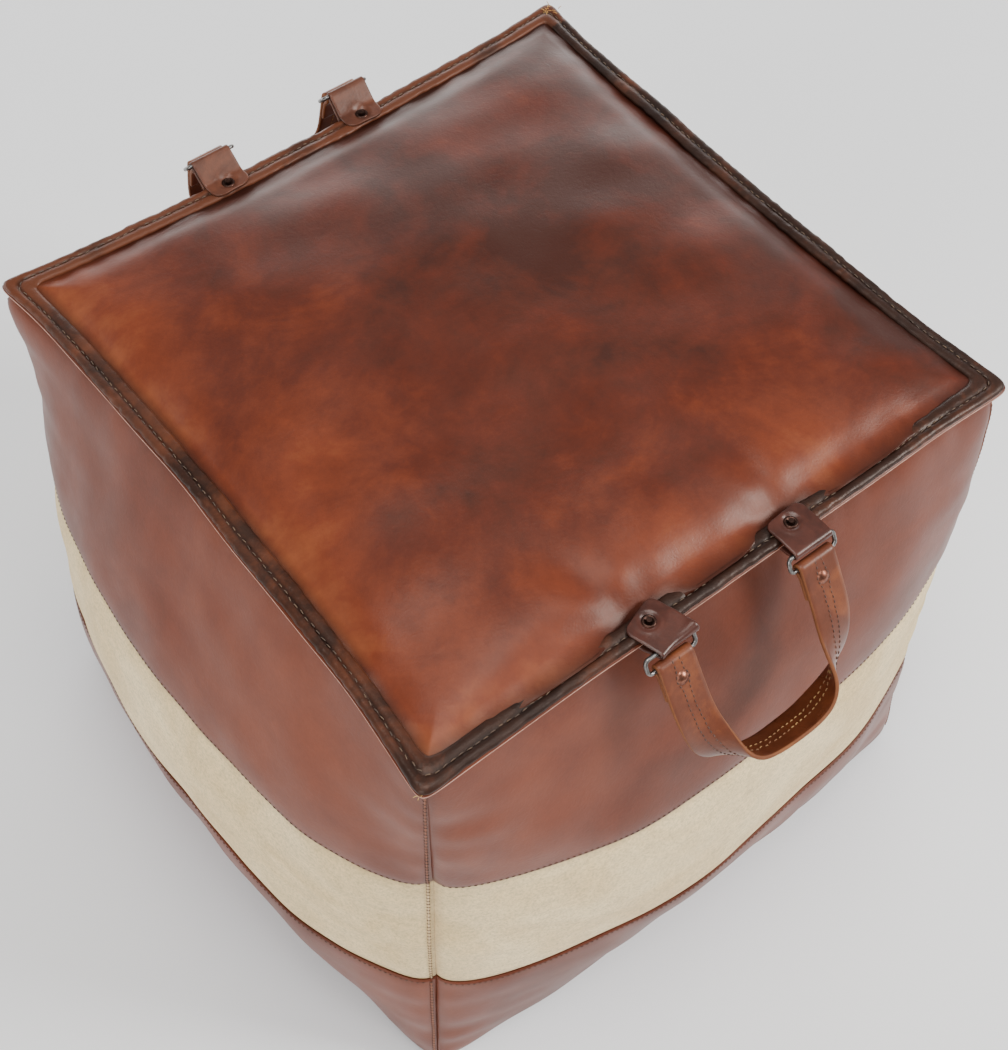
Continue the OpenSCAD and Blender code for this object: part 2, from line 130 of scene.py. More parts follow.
def wall_point(k, u, z, level=None, inset=0.0):
    a, b = side_uw(k, u)
    x, y = plan_point(a, b, level or body_level(z), inset)
    if level is None:
        under = np.clip(WALL_TOP - z, 0, None)
        lower = np.where(
            a < 0, EAR_TOP * np.exp(-under / 30) + EAR_FOOT * ease((under - 90) / 130),
            EAR_WAIST * np.exp(-((under - 120) / 90) ** 2))
        ear = (EAR + EAR_TOP * np.exp(-under / 45) + lower) * (1 - np.exp(-under / 7))
        ear = ear * np.clip(-a * b, 0, 1) ** 2
        x, y = x + np.sign(a) * ear, y + np.sign(b) * ear
    return np.stack([x, y, z + 0 * x], -1)


def unit(v):
    return v / np.maximum(np.linalg.norm(v, axis=-1, keepdims=True), 1e-9)


def wall_normal(k, u, z):
    """Outward direction of the wall; at a corner seam it turns to the corner's diagonal."""
    du, dz = 0.004, 1.0
    inner_u = np.clip(u, -1 + du, 1 - du)
    along = wall_point(k, inner_u + du, z) - wall_point(k, inner_u - du, z)
    high, low = np.minimum(z + dz, WALL_TOP), np.maximum(z - dz, SEAM_LOW)
    up = wall_point(k, u, high) - wall_point(k, u, low)
    normal = unit(np.cross(along, up))
    at = wall_point(k, u, z)
    diagonal = np.stack([np.sign(at[..., 0]), np.sign(at[..., 1]), 0 * z], -1) / math.sqrt(2)
    turn = np.clip((np.abs(u) - 0.985) / 0.015, 0, 1)[..., None]
    return unit(normal * (1 - turn) + diagonal * turn)


def ripples(points, wavelength, seed, count=18):
    """Smooth seeded unevenness of about unit size, from waves in many directions."""
    rng = np.random.default_rng(seed)
    points = np.asarray(points, float)
    directions = rng.normal(size=(count, points.shape[-1]))
    directions /= np.linalg.norm(directions, axis=1, keepdims=True)
    lengths = wavelength * rng.uniform(0.7, 1.5, count)
    phases = rng.uniform(0, 2 * math.pi, count)
    angle = points @ (directions / lengths[:, None]).T * 2 * math.pi + phases
    return np.sin(angle).sum(-1) * math.sqrt(1 / count)


# ---- Meshes ----

def new_mesh(name, points, faces):
    mesh = bpy.data.meshes.new(name)
    mesh.from_pydata([tuple(p) for p in np.asarray(points, float) * MM], [], faces)
    mesh.polygons.foreach_set("use_smooth", [True] * len(mesh.polygons))
    mesh.update()
    piece = bpy.data.objects.new(name, mesh)
    bpy.context.scene.collection.objects.link(piece)
    return piece


def place(piece, body, slot, material, *nodes):
    piece.data.materials.append(material)
    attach(piece, body)
    if nodes:
        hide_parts(*nodes)
    return piece


def give(piece, name, values):
    attribute = piece.data.attributes.new(name, "FLOAT", "POINT")
    attribute.data.foreach_set("value", np.asarray(values, np.float32).ravel())


def give_shell(piece, name, values):
    """The same value on the outer and the inner face of a shell."""
    give(piece, name, np.concatenate([values.ravel(), values.ravel()]))


def grid_quads(rows, cols):
    j, i = np.meshgrid(np.arange(rows - 1), np.arange(cols - 1), indexing="ij")
    first = (j * cols + i).ravel()
    return np.stack([first, first + 1, first + cols + 1, first + cols], 1)


def shell(name, outer, inner):
    """Closed leather sheet between two grids. Seen from outside, columns run to the right
    and rows run up."""
    rows, cols = outer.shape[:2]
    size = rows * cols
    outside = grid_quads(rows, cols)
    faces = np.concatenate([outside, size + outside[:, ::-1]])
    ring = np.concatenate([
        np.arange(cols - 1), cols - 1 + cols * np.arange(rows - 1),
        size - 1 - np.arange(cols - 1), size - cols - cols * np.arange(rows - 1),
    ])
    after = np.roll(ring, -1)
    rim = np.stack([after, ring, size + ring, size + after], 1)
    points = np.concatenate([outer.reshape(-1, 3), inner.reshape(-1, 3)])
    piece = new_mesh(name, points, np.concatenate([faces, rim]).tolist())
    piece["rim_faces"] = len(rim)
    return piece


def paint_rim(piece, material):
    """Gives a shell's cut edges their own material."""
    piece.data.materials.append(material)
    count = len(piece.data.polygons)
    for index in range(count - piece["rim_faces"], count):
        piece.data.polygons[index].material_index = 1


def tube_mesh(name, sections, looped=False):
    """Closed tube through rings of points, capped unless it is looped."""
    count, sides = sections.shape[:2]
    spans = count if looped else count - 1
    r, s = np.meshgrid(np.arange(spans), np.arange(sides), indexing="ij")
    r2, s2 = (r + 1) % count, (s + 1) % sides
    quads = np.stack([r * sides + s, r * sides + s2, r2 * sides + s2, r2 * sides + s], -1).reshape(-1, 4)
    faces = quads.tolist()
    if not looped:
        faces.append(list(range(sides))[::-1])
        faces.append([(count - 1) * sides + k for k in range(sides)])
    return new_mesh(name, sections.reshape(-1, 3), faces)


def stitches(name, starts, ends, normals, radius):
    """Short thread stitches: each dips into the leather at both ends."""
    along = np.array([0, 0.22, 0.5, 0.78, 1.0])
    lift = np.array([-0.9, 0.35, 0.6, 0.35, -0.9]) * radius
    fat = np.array([0.55, 1.0, 1.05, 1.0, 0.55]) * radius
    rings, sides = len(along), 6
    run = unit(ends - starts)
    across = unit(np.cross(run, normals))
    up = np.cross(across, run)
    turn = np.arange(sides) * 2 * math.pi / sides
    centre = (starts[:, None] + (ends - starts)[:, None] * along[None, :, None]
              + up[:, None] * lift[None, :, None])
    ring = (across[:, None, None] * np.cos(turn)[None, None, :, None]
            + up[:, None, None] * np.sin(turn)[None, None, :, None])
    points = centre[:, :, None] + ring * fat[None, :, None, None]
    faces = []
    for base in range(0, len(starts) * rings * sides, rings * sides):
        last = base + (rings - 1) * sides
        for ring_start in range(base, last, sides):
            for s in range(sides):
                t = (s + 1) % sides
                faces.append([ring_start + s, ring_start + sides + s, ring_start + sides + t, ring_start + t])
        faces.append(list(range(base, base + sides)))
        faces.append(list(range(last, last + sides))[::-1])
    return new_mesh(name, points.reshape(-1, 3), faces)


def resample(points, step, closed=False):
    """Points at an even spacing along a line."""
    line = np.vstack([points, points[:1]]) if closed else np.asarray(points, float)
    lengths = np.r_[0, np.cumsum(np.linalg.norm(np.diff(line, axis=0), axis=1))]
    count = max(2, int(round(lengths[-1] / step)))
    marks = np.linspace(0, lengths[-1], count + 1)
    if closed:
        marks = marks[:-1]
    return np.stack([np.interp(marks, lengths, line[:, c]) for c in range(line.shape[1])], 1)


def smoothed(points, width, closed=False):
    """Running average of a line of points, with its ends kept."""
    reach = int(3 * width) + 1
    weights = np.exp(-0.5 * (np.arange(-reach, reach + 1) / width) ** 2)
    weights /= weights.sum()
    if closed:
        padded = np.vstack([points[-reach:], points, points[:reach]])
    else:
        before = 2 * points[0] - points[reach:0:-1]
        after = 2 * points[-1] - points[-2:-reach - 2:-1]
        padded = np.vstack([before, points, after])
    return np.stack([np.convolve(padded[:, c], weights, "valid") for c in range(points.shape[1])], 1)


def stitch_row(name, line, normals, pitch, length, radius, wander=0.0, seed=0, closed=False):
    """Stitches along a line of points on a surface, with their normals."""
    both = resample(np.hstack([line, normals]), pitch, closed)
    points, up = both[:, :3], unit(both[:, 3:])
    run = unit(np.roll(points, -1, 0) - points)
    if not closed:
        points, up, run = points[:-1], up[:-1], run[:-1]
    side = np.cross(up, run)
    rng = np.random.default_rng(seed)
    shift = side * rng.normal(0, wander, (len(points), 1))
    twist = side * rng.normal(0, wander, (len(points), 1))
    starts = points + shift
    return stitches(name, starts, starts + run * length + twist, up, radius)


# ---- Materials ----

class Paint:
    """A Principled material and the nodes that drive it. Patterns follow the point on the
    object, in metres."""

    def __init__(self, name, sockets=None):
        self.material = bpy.data.materials.new(name)
        self.material.use_nodes = True
        self.tree = self.material.node_tree
        self.surface = self.tree.nodes["Principled BSDF"].inputs
        for key, value in (sockets or {}).items():
            self.surface[key].default_value = value
        self.where = self.node("ShaderNodeTexCoord").outputs["Object"]

    def node(self, kind, sockets=None, **props):
        made = self.tree.nodes.new(kind)
        for key, value in props.items():
            setattr(made, key, value)
        for key, value in (sockets or {}).items():
            if isinstance(value, bpy.types.NodeSocket):
                self.tree.links.new(value, made.inputs[key])
            else:
                made.inputs[key].default_value = value
        return made

    def noise(self, scale, detail=4.0, rough=0.55, warp=0.0, where=None):
        sockets = {"Vector": where or self.where, "Scale": scale, "Detail": detail, "Roughness": rough}
        return self.node("ShaderNodeTexNoise", {**sockets, "Distortion": warp}).outputs["Fac"]

    def wave(self, scale, warp=0.0, way="X"):
        sockets = {"Vector": self.where, "Scale": scale, "Distortion": warp}
        return self.node("ShaderNodeTexWave", sockets, bands_direction=way).outputs["Fac"]

    def maths(self, operation, a, b, clamp=False):
        return self.node("ShaderNodeMath", {0: a, 1: b}, operation=operation, use_clamp=clamp).outputs[0]

    def ramp(self, fac, stops):
        made = self.node("ShaderNodeValToRGB", {"Fac": fac})
        elements = made.color_ramp.elements
        while len(elements) < len(stops):
            elements.new(0.5)
        for element, (at, colour) in zip(elements, stops):
            element.position = at
            element.color = (*colour, 1) if isinstance(colour, tuple) else (colour, colour, colour, 1)
        return made.outputs["Color"]

    def mix(self, fac, a, b, blend="MIX"):
        colours = [(*c, 1) if isinstance(c, tuple) else c for c in (a, b)]
        sockets = {0: fac, 6: colours[0], 7: colours[1]}
        return self.node("ShaderNodeMix", sockets, data_type="RGBA", blend_type=blend).outputs[2]

    def fade(self, value, low, high, to_low=0.0, to_high=1.0):
        sockets = {"Value": value, "From Min": low, "From Max": high, "To Min": to_low, "To Max": to_high}
        return self.node("ShaderNodeMapRange", sockets).outputs["Result"]

    def bump(self, height, distance, strength, under=None):
        sockets = {"Height": height, "Distance": distance * MM, "Strength": strength}
        if under is not None:
            sockets["Normal"] = under
        return self.node("ShaderNodeBump", sockets).outputs["Normal"]

    def attribute(self, name):
        return self.node("ShaderNodeAttribute", attribute_name=name).outputs["Fac"]

    def dress(self, colour, relief=None, gloss=None):
        """Links the colour, the relief and the roughness, and gives the finished material."""
        for key, made in (("Base Color", colour), ("Normal", relief), ("Roughness", gloss)):
            if made is not None:
                self.tree.links.new(made, self.surface[key])
        return self.material


# Share of the large clouds in a leather's tone; the fine mottling has the rest.
CLOUD_SHARE = 0.74
# Tint of a leather's shine, and roughness of its coat of polish.
WARM, COAT_ROUGH = (1.0, 0.86, 0.76, 1), 0.28


def leather(name, tones, rough, cloud_scale, painted_seam_shade=0.0, tan=False, grain=0.05, coat=0.0, fleck=0.0,
            shine=0.3):
    """Burnished leather: clouds of tone, fine mottling, painted shade that darkens the seams, and a light
    grain.
    With tan, the mesh's own attribute shifts the tone."""
    paint = Paint(name, {"Specular IOR Level": shine, "Specular Tint": WARM, "Coat Weight": coat,
                         "Coat Roughness": COAT_ROUGH})
    clouds = paint.noise(cloud_scale, 6, 0.6, 0.6)
    small = paint.noise(cloud_scale * 5, 5, 0.65, 0.3)
    tone = paint.maths(
        "ADD", paint.maths("MULTIPLY", clouds, CLOUD_SHARE), paint.maths("MULTIPLY", small, 1 - CLOUD_SHARE))
    if tan:
        tone = paint.maths("ADD", tone, paint.attribute("tan"), clamp=True)
    colour = paint.ramp(tone, tones)
    speck = paint.noise(420, 3, 0.7)
    colour = paint.mix(0.35, colour, paint.ramp(speck, [(0.3, 0.72), (0.7, 1.0)]), "MULTIPLY")
    if fleck:
        spots = paint.fade(paint.noise(46, 2, 0.5), 0.66, 0.74, 0, fleck)
        colour = paint.mix(spots, colour, tuple(1.35 * c for c in tones[-1][1]))
    # Painted shade: the colour darkens towards the seams, where the mesh's seam attribute falls to 0.
    if painted_seam_shade:
        near = paint.fade(paint.attribute("seam"), 0.0, 1.0, painted_seam_shade, 0.0)
        colour = paint.mix(near, colour, tuple(0.28 * c for c in tones[0][1]))
    gloss = paint.fade(paint.noise(22, 4, 0.6), 0.3, 0.7, rough[0], rough[1])
    cells = paint.node("ShaderNodeTexVoronoi", {"Vector": paint.where, "Scale": 620.0}).outputs["Distance"]
    creased = paint.noise(130, 5, 0.65, 1.2)
    return paint.dress(colour, paint.bump(cells, grain, 0.5, paint.bump(creased, 0.25, 0.45)), gloss)


def suede(name):
    """Brushed nap, with soft patches and level streaks."""
    paint = Paint(name, {"Roughness": 0.95, "Sheen Weight": 0.1, "Sheen Roughness": 0.5})
    nap = paint.noise(520, 4, 0.75)
    brushed = paint.noise(60, 5, 0.7, 1.5)
    patches = paint.noise(14, 4, 0.6, 0.8)
    stretched = paint.node("ShaderNodeMapping", {"Vector": paint.where, "Scale": (1, 1, 9)}).outputs[0]
    streaks = paint.noise(40, 4, 0.7, where=stretched)
    colour = paint.ramp(patches, [(0.3, (0.76, 0.545, 0.255)), (0.7, (0.93, 0.735, 0.41))])
    colour = paint.mix(0.55, colour, paint.ramp(brushed, [(0.3, 0.74), (0.62, 1.0)]), "MULTIPLY")
    colour = paint.mix(0.6, colour, paint.ramp(nap, [(0.34, 0.5), (0.56, 1.0)]), "MULTIPLY")
    colour = paint.mix(0.35, colour, paint.ramp(streaks, [(0.35, 0.8), (0.6, 1.0)]), "MULTIPLY")
    # Painted shade: the suede darkens towards its seams.
    near = paint.fade(paint.attribute("seam"), 0.0, 1.0, 0.42, 0.0)
    colour = paint.mix(near, colour, (0.36, 0.24, 0.12))
    return paint.dress(colour, paint.bump(nap, 0.5, 0.6, paint.bump(brushed, 0.8, 0.4)))


def metal(name, colour, rough, dirt):
    paint = Paint(name, {"Metallic": 1.0})
    tarnish = paint.noise(300, 5, 0.7)
    shade = paint.mix(paint.fade(tarnish, 0.35, 0.65), colour, dirt)
    gloss = paint.fade(tarnish, 0.3, 0.7, rough, rough + 0.2)
    return paint.dress(shade, paint.bump(tarnish, 0.05, 0.3), gloss)


def thread(name, colour, other):
    paint = Paint(name, {"Roughness": 0.6})
    plies = paint.wave(900.0, 2.0)
    shade = paint.mix(paint.fade(paint.noise(90, 3, 0.6), 0.4, 0.6), colour, other)
    return paint.dress(paint.mix(0.3, shade, plies, "MULTIPLY"), paint.bump(plies, 0.08, 0.5))


def woven(name, colour, scale):
    """Plain weave from two crossed sets of bands."""
    paint = Paint(name, {"Roughness": 0.9, "Sheen Weight": 0.2})
    cloth = paint.maths("MULTIPLY", paint.wave(scale, way="X"), paint.wave(scale, way="Y"))
    patchy = paint.noise(30, 4, 0.6)
    shade = paint.mix(0.4, colour, cloth, "MULTIPLY")
    shade = paint.mix(0.3, shade, paint.ramp(patchy, [(0.3, 0.7), (0.7, 1.0)]), "MULTIPLY")
    return paint.dress(shade, paint.bump(cloth, 0.25, 0.6))


def wadding(name):
    paint = Paint(name, {"Roughness": 1.0})
    fibres = paint.noise(180, 6, 0.8, 2.0)
    clumps = paint.noise(35, 5, 0.7, 1.0)
    shade = paint.mix(fibres, (0.62, 0.58, 0.50), (0.86, 0.83, 0.76))
    return paint.dress(shade, paint.bump(clumps, 4, 0.8, paint.bump(fibres, 1.5, 0.6)))


# Each leather's tones run from dark to light, as (place on the ramp, colour).
OXBLOOD, COGNAC = (0.042, 0.0092, 0.0048), (0.084, 0.0140, 0.0056)
AMBER, GOLDEN = (0.150, 0.0275, 0.0088), (0.28, 0.079, 0.026)
TOP_LEATHER = leather(
    "top_leather", [(0.34, OXBLOOD), (0.52, COGNAC), (0.70, AMBER), (0.98, GOLDEN)],
    (0.36, 0.48), 13.0, painted_seam_shade=0.8, tan=True, shine=0.35)
SIDE_LEATHER = leather(
    "side_leather",
    [(0.34, (0.093, 0.0215, 0.0102)), (0.5, (0.136, 0.0315, 0.0145)), (0.68, (0.188, 0.046, 0.0200))],
    (0.33, 0.44), 7.0, painted_seam_shade=0.32, fleck=0.12, shine=0.28)
BINDING_LEATHER = leather(
    "binding_leather",
    [(0.35, (0.013, 0.0050, 0.0033)), (0.55, (0.027, 0.0096, 0.0054)), (0.8, (0.10, 0.029, 0.0125))],
    (0.32, 0.55), 30.0, painted_seam_shade=0.6, tan=True, grain=0.16)
RAW_EDGE = leather(
    "raw_edge_leather", [(0.35, (0.36, 0.17, 0.12)), (0.65, (0.55, 0.33, 0.25))], (0.6, 0.8), 80.0)
WELT = leather(
    "welt_leather", [(0.35, (0.17, 0.060, 0.034)), (0.65, (0.30, 0.120, 0.072))], (0.5, 0.7), 80.0)
PALE_WELT = leather(
    "pale_welt", [(0.35, (0.55, 0.38, 0.20)), (0.65, (0.72, 0.55, 0.33))], (0.7, 0.9), 80.0)
FRONT_TAB = leather(
    "front_tab_leather", [(0.35, (0.034, 0.011, 0.008)), (0.65, (0.078, 0.023, 0.015))],
    (0.24, 0.36), 60.0, coat=0.25)
BACK_TAB = leather(
    "back_tab_leather", [(0.35, (0.060, 0.020, 0.012)), (0.65, (0.135, 0.043, 0.022))],
    (0.32, 0.46), 50.0, coat=0.15)
STRAP_LEATHER = leather(
    "strap_leather",
    [(0.3, (0.074, 0.0212, 0.0113)), (0.5, (0.118, 0.0333, 0.0160)), (0.72, (0.25, 0.074, 0.0240))],
    (0.30, 0.44), 24.0, coat=0.1)
STRAP_INSIDE = leather(
    "strap_inside", [(0.3, (0.05, 0.013, 0.0055)), (0.7, (0.115, 0.031, 0.011))],
    (0.2, 0.34), 50.0, coat=0.25)
STRAP_EDGE = leather(
    "strap_edge", [(0.3, (0.12, 0.037, 0.015)), (0.7, (0.22, 0.075, 0.026))], (0.5, 0.7), 60.0)
SUEDE = suede("cream_suede")
RING_METAL = metal("ring_steel", (0.30, 0.29, 0.28), 0.22, (0.12, 0.11, 0.10))
COPPER = metal("copper_rivet", (0.30, 0.125, 0.08), 0.25, (0.12, 0.045, 0.03))
DARK_RIVET = metal("dark_rivet", (0.09, 0.045, 0.034), 0.34, (0.035, 0.02, 0.016))
ZIP_METAL = metal("zip_metal", (0.42, 0.34, 0.19), 0.3, (0.18, 0.13, 0.07))
DARK_THREAD = thread("dark_thread", (0.06, 0.025, 0.015), (0.11, 0.05, 0.03))
GOLD_THREAD = thread("gold_thread", (0.45, 0.26, 0.09), (0.22, 0.10, 0.04))
TAN_THREAD = thread("tan_thread", (0.070, 0.043, 0.028), (0.14, 0.083, 0.046))
ORANGE_THREAD = thread("orange_thread", (0.50, 0.22, 0.05), (0.62, 0.40, 0.12))
TAPE_CLOTH = woven("zip_tape", (0.05, 0.033, 0.025), 700.0)
LINER_CLOTH = woven("liner_cotton", (0.66, 0.61, 0.51), 420.0)
WADDING = wadding("cotton_filling")

# ---- Cover ----

# Centres of the two rings along the edge, how far the suede runs on under the leather, and
# the columns of every panel, closer together towards its corners.
RING_X = [float(np.mean([e[0] for e in box_mm(f"front_{s}_ring")])) for s in ("left", "right")]
LAP = 5.0
COLUMNS = np.sin(np.radians(np.linspace(-90, 90, 133)))


def corner_distance(u):
    return (1 - np.abs(u)) * BASE_CORNER


# How far the panels puff up between their seams, and where they lie at a seam: the leather
# laps over the suede.
LEATHER_PUFF, BAND_PUFF, PUFF_REACH = 2.2, 2.0, 9.0
OVER, UNDER = 0.4, -1.2
# Relief of the walls. Depth and reach of the groove at a corner seam; height, reach and
# wavelength of the puckers beside it and of the gathers under the edge; height, wavelength
# and seed of the lumps.
GROOVE_DEPTH, GROOVE_REACH, CORNER_REACH = 3.2, 6.0, 4.0
PUCKER, PUCKER_REACH, PUCKER_WAVE = 0.8, 34.0, 30
GATHER, GATHER_REACH, GATHER_WAVE = 0.7, 14.0, 26
LUMPS = ((1.8, 150, 7), (0.6, 60, 8))
# How far the foot of each side is stuffed out, up to which height, and over which height it
# fades. The front has one more bulge near its right corner.
FOOT_OUT, FOOT_Z, FOOT_FADE = (2.5, 2.5, 2.0, 7.0), 60, 170
BULGE, BULGE_AT, BULGE_REACH = 4.0, 0.62, 0.2
# The front handle has pressed a shallow hollow into the side, round the foot of its loop.
HANDLE_BOX = box_mm("front_handle_strap")
HANDLE_X, HANDLE_FOOT = (HANDLE_BOX[0][0] + HANDLE_BOX[1][0]) / 2, HANDLE_BOX[0][2] + 8
PRESS, PRESS_WIDE, PRESS_HIGH = 3.2, 62, 36


def wall_offset(k, u, z, low, high, relief):
    """How far the leather stands off the plain stuffed shape: it puffs up between its seams,
    dips into the corner seams and puckers beside them."""
    at = wall_point(k, u, z)
    near_seam = np.clip(np.minimum(z - low, high - z), 0, None)
    from_corner = corner_distance(u)
    clear = 1 - np.exp(-from_corner / CORNER_REACH)
    puff = relief * (1 - np.exp(-near_seam / PUFF_REACH))
    groove = GROOVE_DEPTH * np.exp(-from_corner / GROOVE_REACH)
    waves = ripples(np.stack([z, 0.35 * at[..., 0]], -1), PUCKER_WAVE, 40 + k)
    puckers = PUCKER * waves * np.exp(-from_corner / PUCKER_REACH) * clear
    gathers = GATHER * ripples(np.stack([u * BASE_CORNER], -1), GATHER_WAVE, 60 + k)
    gathers = gathers * np.exp(-np.clip(WALL_TOP - z, 0, None) / GATHER_REACH) * clear
    lumps = sum(height * ripples(at, wave, seed) for height, wave, seed in LUMPS)
    foot = FOOT_OUT[k]
    if k == 0:
        foot = foot + BULGE * np.exp(-((u - BULGE_AT) / BULGE_REACH) ** 2)
        aside, above = (at[..., 0] - HANDLE_X) / PRESS_WIDE, (z - HANDLE_FOOT) / PRESS_HIGH
        lumps = lumps - PRESS * np.exp(-aside ** 2 - above ** 2)
    foot = foot * swell(u, 0.35) * (1 - ease((z - FOOT_Z) / FOOT_FADE))
    return puff - groove + puckers + gathers + lumps + foot


# Painted shade near the seams: 0 at a seam or corner, rising to 1 clear of it.
def seam_shade(z, low, high, u):
    near = np.minimum(np.abs(z - low), np.abs(high - z))
    return np.clip(np.minimum(near / 7.0, corner_distance(u) / 5.0 + 0.15), 0, 1)


# Rows of a panel: close together within SEAM_ZONE of its seams, further apart between.
SEAM_ZONE, FINE_ROW, COARSE_ROW = 9, 1.5, 3.6


def wall_panel(k, name, low, high, lap, relief, step_out, material, slot):
    """One panel of one side. A lap is the strip at each seam that lies under its neighbour."""
    rows = np.concatenate([
        np.arange(low - lap, low + SEAM_ZONE, FINE_ROW),
        np.arange(low + SEAM_ZONE, high - SEAM_ZONE, COARSE_ROW),
        np.arange(high - SEAM_ZONE, high + lap + 0.1, FINE_ROW)])
    u, z = np.meshgrid(COLUMNS, rows)
    z_seen = np.clip(z, low, high)
    normal = wall_normal(k, u, z_seen)
    offset = wall_offset(k, u, z_seen, low, high, relief) + step_out - 0.25 * (z != z_seen)
    outer = wall_point(k, u, z) + normal * offset[..., None]
    inner = outer - normal * LEATHER
    if high >= WALL_TOP:
        outer, inner = turn_out(k, outer, inner)
    piece = shell(f"{name}_{SIDES[k]}_cover", outer, inner)
    shade = seam_shade(outer[..., 2], low, high, np.broadcast_to(COLUMNS, outer.shape[:2]))
    give_shell(piece, "seam", shade)
    place(piece, "root", slot, material, f"{name}_{SIDES[k]}")
    paint_rim(piece, RAW_EDGE if name == "upper_panel" else material)


# The turned-out strip of the upper panels: its rows as shares of the flat edge's width, how
# far it shows beyond the binding, and how far its tips stand out.
FLANGE_ROWS, RAW_SHOWS = (0.22, 0.5, 0.78, 1.0), 0.9
TIP_OUT, TIP_REACH = 3.6, 16.0


def flange_shift(k, u):
    """Slight waviness of the flat edge, outward and up."""
    at = np.stack(plan_point(*side_uw(k, u), edge_level(0)), -1)
    fall = 1 - np.exp(-corner_distance(u) / 30.0)
    tip = TIP_OUT * np.exp(-corner_distance(u) / TIP_REACH)
    return 0.8 * ripples(at, 120, 21) * fall + tip, 0.9 * ripples(at, 150, 22) * fall


def turn_out(k, outer, inner):
    """The side panel turns out under the flat edge, and its raw edge shows below the binding."""
    u = COLUMNS
    start = wall_point(k, u, WALL_TOP)
    tip = wall_point(k, u, WALL_TOP, edge_level(-RAW_SHOWS))
    outward, upward = flange_shift(k, u)
    direction = unit(tip - start)
    rounded = 1 - 0.3 * np.exp(-corner_distance(u) / 5.0)[:, None]
    reach = (tip - start) * rounded + direction * outward[:, None]
    rows = np.stack([start + reach * share for share in FLANGE_ROWS])
    keep = outer[:, :, 2].mean(1) < EDGE_LOW - 3.0
    sheets = []
    for sheet, z in ((outer, EDGE_LOW + 0.05 + upward), (inner, EDGE_LOW + 1.35 + upward)):
        rows[..., 2] = z
        sheets.append(np.concatenate([sheet[keep], rows]))
    return sheets


WALL_PANELS = (
    ("lower_panel", SEAM_LOW, BAND_LOW, 0, LEATHER_PUFF, OVER, SIDE_LEATHER, "side_leather"),
    ("suede_band", BAND_LOW, BAND_HIGH, LAP, BAND_PUFF, UNDER, SUEDE, "cream_suede"),
    ("upper_panel", BAND_HIGH, WALL_TOP, 0, LEATHER_PUFF, OVER, SIDE_LEATHER, "side_leather"))
for side in range(4):
    for panel in WALL_PANELS:
        wall_panel(side, *panel)


def grid_normals(points):
    return unit(np.cross(np.gradient(points, axis=1), np.gradient(points, axis=0)))


TAB_RIVETS = {side: box_mm(f"{side}_tab_rivet_caps") for side in ("front", "back")}
RIVET_Y = {side: (TAB_RIVETS[side][0][1] + TAB_RIVETS[side][1][1]) / 2 for side in TAB_RIVETS}
# Each rivet dimples the top, and each front one draws creases in it: direction in degrees,
# length and depth.
DIMPLE, DIMPLE_REACH = {"front": 3.4, "back": 1.4}, 15
FRONT_CREASES = (
    (RING_X[0], ((112, 62, 3.6), (152, 40, 1.8), (66, 40, 1.4))),
    (RING_X[1], ((88, 64, 3.2), (128, 46, 2.0), (40, 36, 1.2))),
)
CREASE_WIDTH, CREASE_SPREAD = 6.0, 0.12
# The top rises gently out of its binding and swells over a shoulder this far inside it.
SHOULDER, FIRST_SLOPE, SLOPE_WIDTH = 14.0, 0.12, 12
# Unevenness of the top and of its rim: height, wavelength, seed.
TOP_WAVES, RIM_WAVES = ((1.3, 150, 11), (0.55, 62, 12)), (0.5, 22, 13)
# Along the front the top leans over the binding by this much, and stands this much higher.
LIP_OUT, LIP_RISE, LIP_REACH = 6.9, 2.5, 7.0
# Tone of the top: strength and reach at its left, front, back and right edges, and clouds as
# centre, radius and strength. The last three clouds are painted highlights on the puffs beside
# the front tabs.
EDGE_TONES = ((0.30, 55), (0.20, 42), (-0.12, 60), (-0.08, 60))
CLOUDS_AND_PUFF_HIGHLIGHTS = (
    (-65, 79, 55, 0.10), (72, 12, 75, -0.07), (-61, -9, 50, -0.07), (-175, -40, 45, 0.10),
    (90, -150, 50, 0.07), (-150, -170, 45, -0.08), (-190, 165, 50, 0.10), (20, -100, 45, 0.06),
    # Painted highlights on the raised puffs beside the front tabs.
    (RING_X[0] - 40, -172, 24, 0.13), (-2, -176, 20, 0.12), (RING_X[1] + 40, -186, 26, 0.12))


def spot(x, y, at_x, at_y, radius):
    """Round spot that fades away from its centre."""
    return np.exp(-((x - at_x) ** 2 + (y - at_y) ** 2) / radius ** 2)


def creases(x, y):
    height = np.zeros_like(x)
    for side, rivet_y in RIVET_Y.items():
        for tab_x in RING_X:
            height -= DIMPLE[side] * spot(x, y, tab_x, rivet_y, DIMPLE_REACH)
    for tab_x, lines in FRONT_CREASES:
        for degrees, length, depth in lines:
            run = (math.cos(math.radians(degrees)), math.sin(math.radians(degrees)))
            dx, dy = x - tab_x, y - RIVET_Y["front"]
            along, across = dx * run[0] + dy * run[1], dx * run[1] - dy * run[0]
            off = across / (CREASE_WIDTH + CREASE_SPREAD * np.clip(along, 0, None))
            reach = np.exp(-((along - 0.45 * length) / (0.5 * length)) ** 2)
            height -= depth * reach * (np.exp(-off ** 2) - 0.45 * np.exp(-(off / 2.6) ** 2))
    return height


def front_lip(x, to_front):
    """Where the stuffed top leans over its binding: along the front, clear of corners and tabs."""
    share = ease((200 - np.abs(x)) / 90)
    for tab_x in RING_X:
        share = share * ease((np.abs(x - tab_x) - 12) / 26)
    return share * np.exp(-(to_front / LIP_REACH) ** 2)


